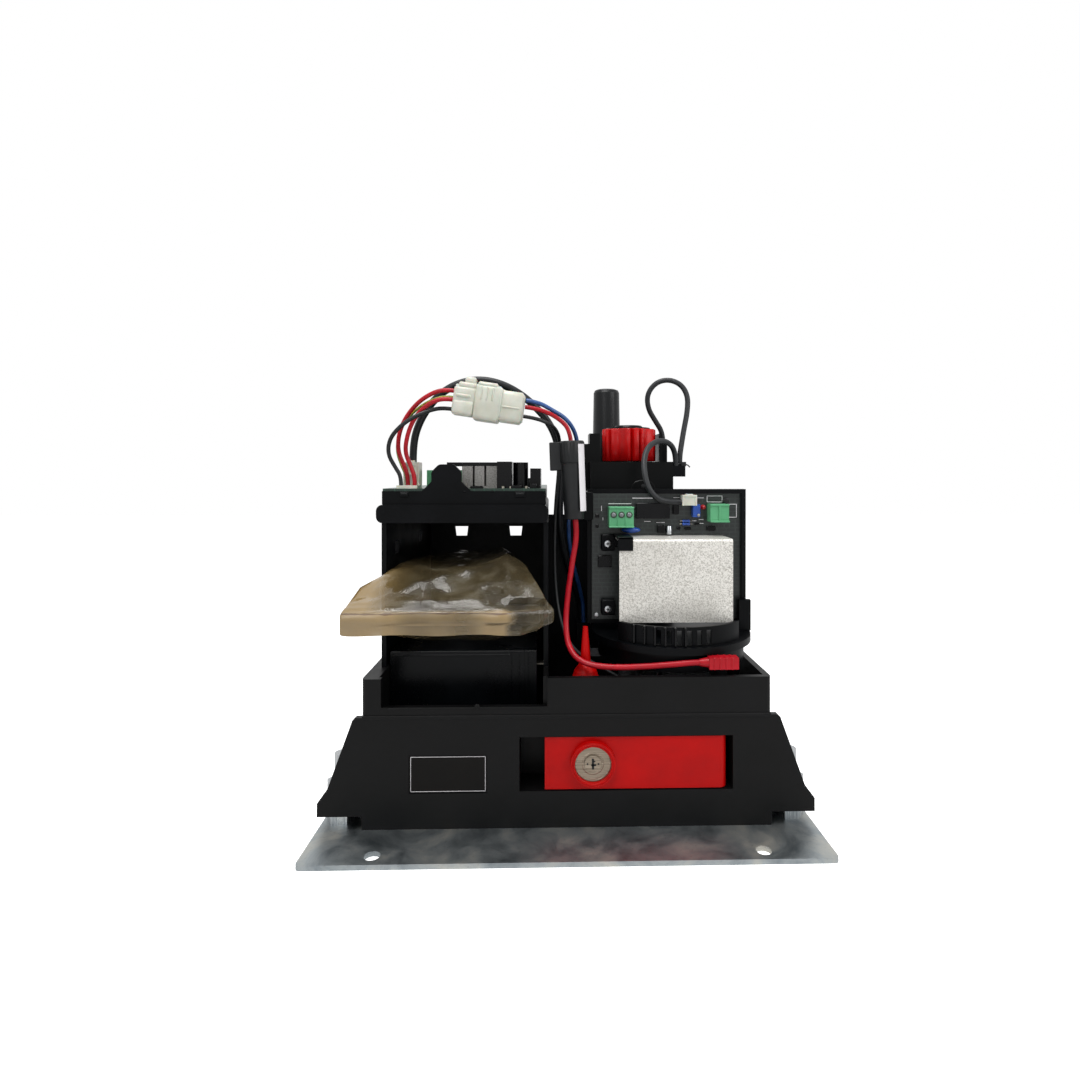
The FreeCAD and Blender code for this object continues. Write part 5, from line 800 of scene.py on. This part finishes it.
boardChips = [((-62.0, -58.2, 206.5), (-54.0, -52.6, 208.2)), ((-36.0, -59.0, 206.5), (-29.0, -55.6, 208.6)),
              ((-24.0, -58.4, 206.5), (-19.4, -54.0, 209.6)), ((-82.0, -40.0, 206.5), (-72.0, -30.0, 209.0)),
              ((-95.0, 4.0, 206.5), (-60.0, 22.0, 210.0)), ((-50.0, 20.0, 206.5), (-30.0, 44.0, 216.0)),
              ((-105.0, 40.0, 206.5), (-84.0, 62.0, 219.0)), ((-70.0, 56.0, 206.5), (-44.0, 78.0, 214.0))]
makePiece("boardChips", slabs(boardChips, 0.5, 0.4), glossBlack)
choke = {"centre": (-24.0, -38.0), "reach": 5.1, "turns": 20}
windings = [lathe([(2.2, 207.0), (4.4, 207.2), (4.9, 208.8), (4.9, 211.4), (4.4, 213.0), (2.2, 213.2)],
                  (*choke["centre"], 0), "z", 24, True)]
for a in np.linspace(0, 2 * math.pi, choke["turns"], endpoint=False):
    windings.append(tube([(choke["centre"][0] + choke["reach"] * math.cos(a),
                           choke["centre"][1] + choke["reach"] * math.sin(a), z)
                          for z in (207.4, 209.0, 211.2, 212.8)], 0.55, 8))
makePiece("choke", windings, fuseNylon)
print("controller: done")


# chassis front: the ledge under the wall, bare label with its frame, a nub on the battery notch

ledge = [((-123.2, -85.7, 69.0), (123.2, -84.9, 71.2)), ((-108.0, -85.5, 75.0), (-15.0, -84.9, 76.0))]
notchNub = lathe([(0.02, -85.9), (1.1, -85.9), (1.5, -85.6), (1.5, -84.9)], (-54.6, 0, 76.4), "y", 20)
makePiece("skirtLedge", slabs(ledge, 0.3, 0.35) + [notchNub], blackAbs)
makePiece("blankLabel", [slab((-94.8, -84.75, 25.0), (-49.2, -84.35, 46.6), 1.2, 0.05, "y")], labelFilm)
# the label's thin raised border, drawn white: a painted highlight along the real border
frameHighlights = [((-94.4, -84.85, 46.0), (-49.6, -84.7, 46.25)), ((-94.4, -84.85, 25.35), (-49.6, -84.7, 25.6)),
              ((-94.4, -84.85, 25.35), (-94.15, -84.7, 46.25)),
              ((-49.85, -84.85, 25.35), (-49.6, -84.7, 46.25))]
makePiece("labelFrameHighlight", slabs(frameHighlights, 0.1, 0.02, "y"), whitePaper)

# key lock: bezel between barrel and plug, keyway shadow with its ward, and dark discs as painted shade in the
# two driver dimples
lockAxis = (15.0, 0, 41.3)
bezel = [lathe([(6.9, -84.9), (6.3, -85.3), (5.9, -85.3), (5.2, -84.9)], lockAxis, "y", 40, True),
         lathe([(10.9, -84.9), (10.6, -85.2), (10.1, -85.2), (9.6, -84.9)], lockAxis, "y", 48, True)]
makePiece("lockBezel", bezel, lockNickel, body="lever")
keyway = [slab((14.3, -85.75, 38.0), (15.7, -85.5, 44.4), 0.3, 0.05, "y"),
          slab((13.9, -85.75, 40.0), (16.9, -85.5, 41.2), 0.3, 0.05, "y"),
          slab((14.9, -85.75, 42.4), (16.5, -85.5, 43.2), 0.3, 0.05, "y")]
makePiece("keyway", keyway, fuseNylon, body="lock")
dimpleShade = [lathe([(0.55, -85.5), (0.55, -85.75)], (lockAxis[0] + x, 0, lockAxis[2]), "y", 14)
           for x in (-3.3, 3.3)]
makePiece("driverDimpleShade", dimpleShade, fuseNylon, body="lock")
collarRings = [lathe([(r + 0.35, -87.95), (r + 0.15, -88.3), (r - 0.15, -88.3), (r - 0.35, -87.95)],
                     lockAxis, "y", 56, True) for r in (11.6, 12.5)]
makePiece("collarRings", collarRings, redAbs, body="lever")

# motor cage: raised arch with a dark disc as painted shade in its pin hole, the drum's grooved shell and cap,
# cable tie
makePiece("cageArch", [slab((48.4, 0.1, 190.0), (66.9, 1.2, 211.5), 7.0, 0.5, "y")], motorEnamel)
pinHoleShade = lathe([(0.02, -0.5), (1.1, -0.5), (1.5, -0.4), (1.5, 0.1)], (57.6, 0, 207.0), "y", 20)
makePiece("pinHoleShade", [pinHoleShade], fuseNylon)
drum = {"centre": (50.0, 30.0), "radius": 21.3, "low": 225.7, "high": 250.5, "repeat": 72.0, "around": 300,
        # place and half-width in degrees from the front, and depth, of each groove in one repeat
        "grooves": [(-29.0, 15.0, 3.4), (2.0, 3.0, 3.6), (21.0, 3.0, 3.6)]}


def drumShell(drum):
    # radius about the axis: full radius less a bell exp(-(turn / half-width)^2) for every groove,
    # repeated round the drum, eased in at both ends
    turn = np.linspace(0, 360, drum["around"], endpoint=False)
    radius = np.full(len(turn), drum["radius"])
    for place, half, depth in drum["grooves"]:
        away = (turn - place + drum["repeat"] / 2) % drum["repeat"] - drum["repeat"] / 2
        radius = radius - depth * np.exp(-(away / half) ** 2)
    heights = np.array([drum["low"], drum["low"] + 0.6, drum["high"] - 0.6, drum["high"]])
    ease = np.array([-0.6, 0.0, 0.0, -0.6])  # millimetres off the radius at both ends
    reach = radius[None] + ease[:, None]
    rings = np.stack([drum["centre"][0] + reach * np.sin(np.radians(turn)),
                      drum["centre"][1] - reach * np.cos(np.radians(turn)),
                      np.broadcast_to(heights[:, None], reach.shape)], 2)
    return carry(rings)


makePiece("drumShell", [drumShell(drum)], drumRed, body="rotor", stands=["encoder_drum"], sharp=60)
cap = [(17.0, 250.3), (17.0, 251.6), (11.4, 251.8), (11.0, 252.8), (10.5, 253.4), (3.0, 253.4),
       (2.6, 253.0), (0.02, 253.0)]
makePiece("drumCap", [lathe(cap, (*drum["centre"], 0), "z", 40)], glossBlack, body="rotor")
tie = {"centre": (86.2, 8.5), "reach": 2.35, "height": 223.4}
tieTurn = np.linspace(0, 2 * math.pi, 24, endpoint=False)
tieBand = np.column_stack([tie["centre"][0] + tie["reach"] * np.cos(tieTurn),
                           tie["centre"][1] + tie["reach"] * np.sin(tieTurn), np.full(24, tie["height"])])
makePiece("cableTie", [tube(tieBand, 0.55, 8, endless=True),
                       slab((86.6, 4.6, 221.6), (90.4, 7.4, 225.0), 0.4, 0.3),
                       tube([(90.2, 6.0, 223.2), (92.0, 5.6, 222.4), (93.2, 5.2, 221.0)], 0.5, 8)], fuseNylon)

# red boot: ribs and a tapered sleeve where the lead goes in; ridge round the breather's skirt
bootRibs = [slab((88.5 + 3.6 * i, -84.5, 96.8), (89.9 + 3.6 * i, -76.6, 104.3), 1.0, 0.3) for i in range(4)]
bootRibs.append(lathe([(0.3, 80.5), (2.1, 80.6), (2.6, 83.0), (3.1, 86.4), (0.3, 86.6)],
                      (0, -80.5, 100.5), "x", 24))
makePiece("bootRibs", bootRibs, redRubber)
breatherAt = (11.5, -66.0, 0)
skirt = [lathe([(7.0, 83.6), (8.5, 84.0), (8.5, 85.0), (7.0, 85.4)], breatherAt, "z", 40, True),
         lathe([(6.6, 88.0), (8.1, 88.3), (8.1, 89.0), (6.6, 89.3)], breatherAt, "z", 40, True)]
makePiece("breatherRidges", skirt, redAbs)
print("front, lock, cage and boots: done")


# camera, light and floor

view = {"place": (-0.01086, -0.47624, 0.21522), "yaw": -1.4, "lens": 21.667,
        "shift": (-0.02397, -0.06019)}
cameraData = bpy.data.cameras.new("camera")
cameraData.lens = view["lens"]
cameraData.sensor_width = 36.0
cameraData.shift_x, cameraData.shift_y = view["shift"]
cameraData.clip_start = 0.01
camera = bpy.data.objects.new("camera", cameraData)
camera.location = view["place"]
camera.rotation_euler = (math.radians(90), 0.0, math.radians(view["yaw"]))
scene.collection.objects.link(camera)
scene.camera = camera

lamps = {
    "softboxAbove": {"place": (-0.15, -0.3, 1.2), "size": 0.7, "watts": 12, "aim": (0, 0, 0.12)},
    "softboxRight": {"place": (0.85, -0.6, 0.65), "size": 0.5, "watts": 4.5, "aim": (0, 0, 0.12)},
    "softboxFront": {"place": (-0.6, -1.2, 0.75), "size": 0.5, "watts": 2.6, "aim": (0, 0, 0.1)},
}
for lampName, lamp in lamps.items():
    light = bpy.data.lights.new(lampName, "AREA")
    light.shape = "SQUARE"
    light.size = lamp["size"]
    light.energy = lamp["watts"]
    lampPiece = bpy.data.objects.new(lampName, light)
    place = np.array(lamp["place"])
    away = place - np.array(lamp["aim"])
    flat = math.hypot(away[0], away[1])
    lampPiece.location = lamp["place"]
    lampPiece.rotation_euler = (math.atan2(flat, away[2]), 0.0, math.atan2(away[0], -away[1]))
    scene.collection.objects.link(lampPiece)

world = bpy.data.worlds.new("studio")
world.use_nodes = True
scene.world = world
worldTree = world.node_tree
worldTree.nodes.clear()
rays = addNode(worldTree, "LightPath")
through = addNode(worldTree, "Math", {0: rays.outputs["Is Camera Ray"],
                                      1: rays.outputs["Is Transmission Ray"]}, operation="MAXIMUM")
shown = addNode(worldTree, "Math", {0: through.outputs["Value"], 1: rays.outputs["Is Glossy Ray"]},
                operation="MAXIMUM")
fill = addNode(worldTree, "Background", {"Color": linear("FFFFFF"), "Strength": 0.3})
white = addNode(worldTree, "Background", {"Color": linear("FFFFFF"), "Strength": 1.0})
both = addNode(worldTree, "MixShader", {0: shown.outputs["Value"], 1: fill.outputs["Background"],
                                        2: white.outputs["Background"]})
addNode(worldTree, "OutputWorld", {"Surface": both.outputs["Shader"]})

# painted sweep: it glows to the camera by what the room light leaves it short of white, so only
# the object's own contact shadow shows on it
floorMaterial, floorTree, floorShader, _ = startMaterial(
    "paintedSweep", Roughness=0.9, Base_Color=linear("EFEFEF"), Specular_IOR_Level=0.0,
    Emission_Color=linear("FFFFFF"))
floorRays = addNode(floorTree, "LightPath")
glow = addNode(floorTree, "MapRange", {"Value": floorRays.outputs["Is Camera Ray"],
                                       "To Min": 0.0, "To Max": 0.8})
floorTree.links.new(glow.outputs["Result"], floorShader.inputs["Emission Strength"])
grid = np.array([(-3, -3, 0), (3, -3, 0), (3, 3, 0), (-3, 3, 0)], float)
floorMesh = bpy.data.meshes.new("floor")
floorMesh.from_pydata(grid.tolist(), [], [(0, 1, 2, 3)])
floorMesh.materials.append(floorMaterial)
floor = bpy.data.objects.new("floor", floorMesh)
scene.collection.objects.link(floor)
scene.view_settings.view_transform = "Standard"
print("studio ready")
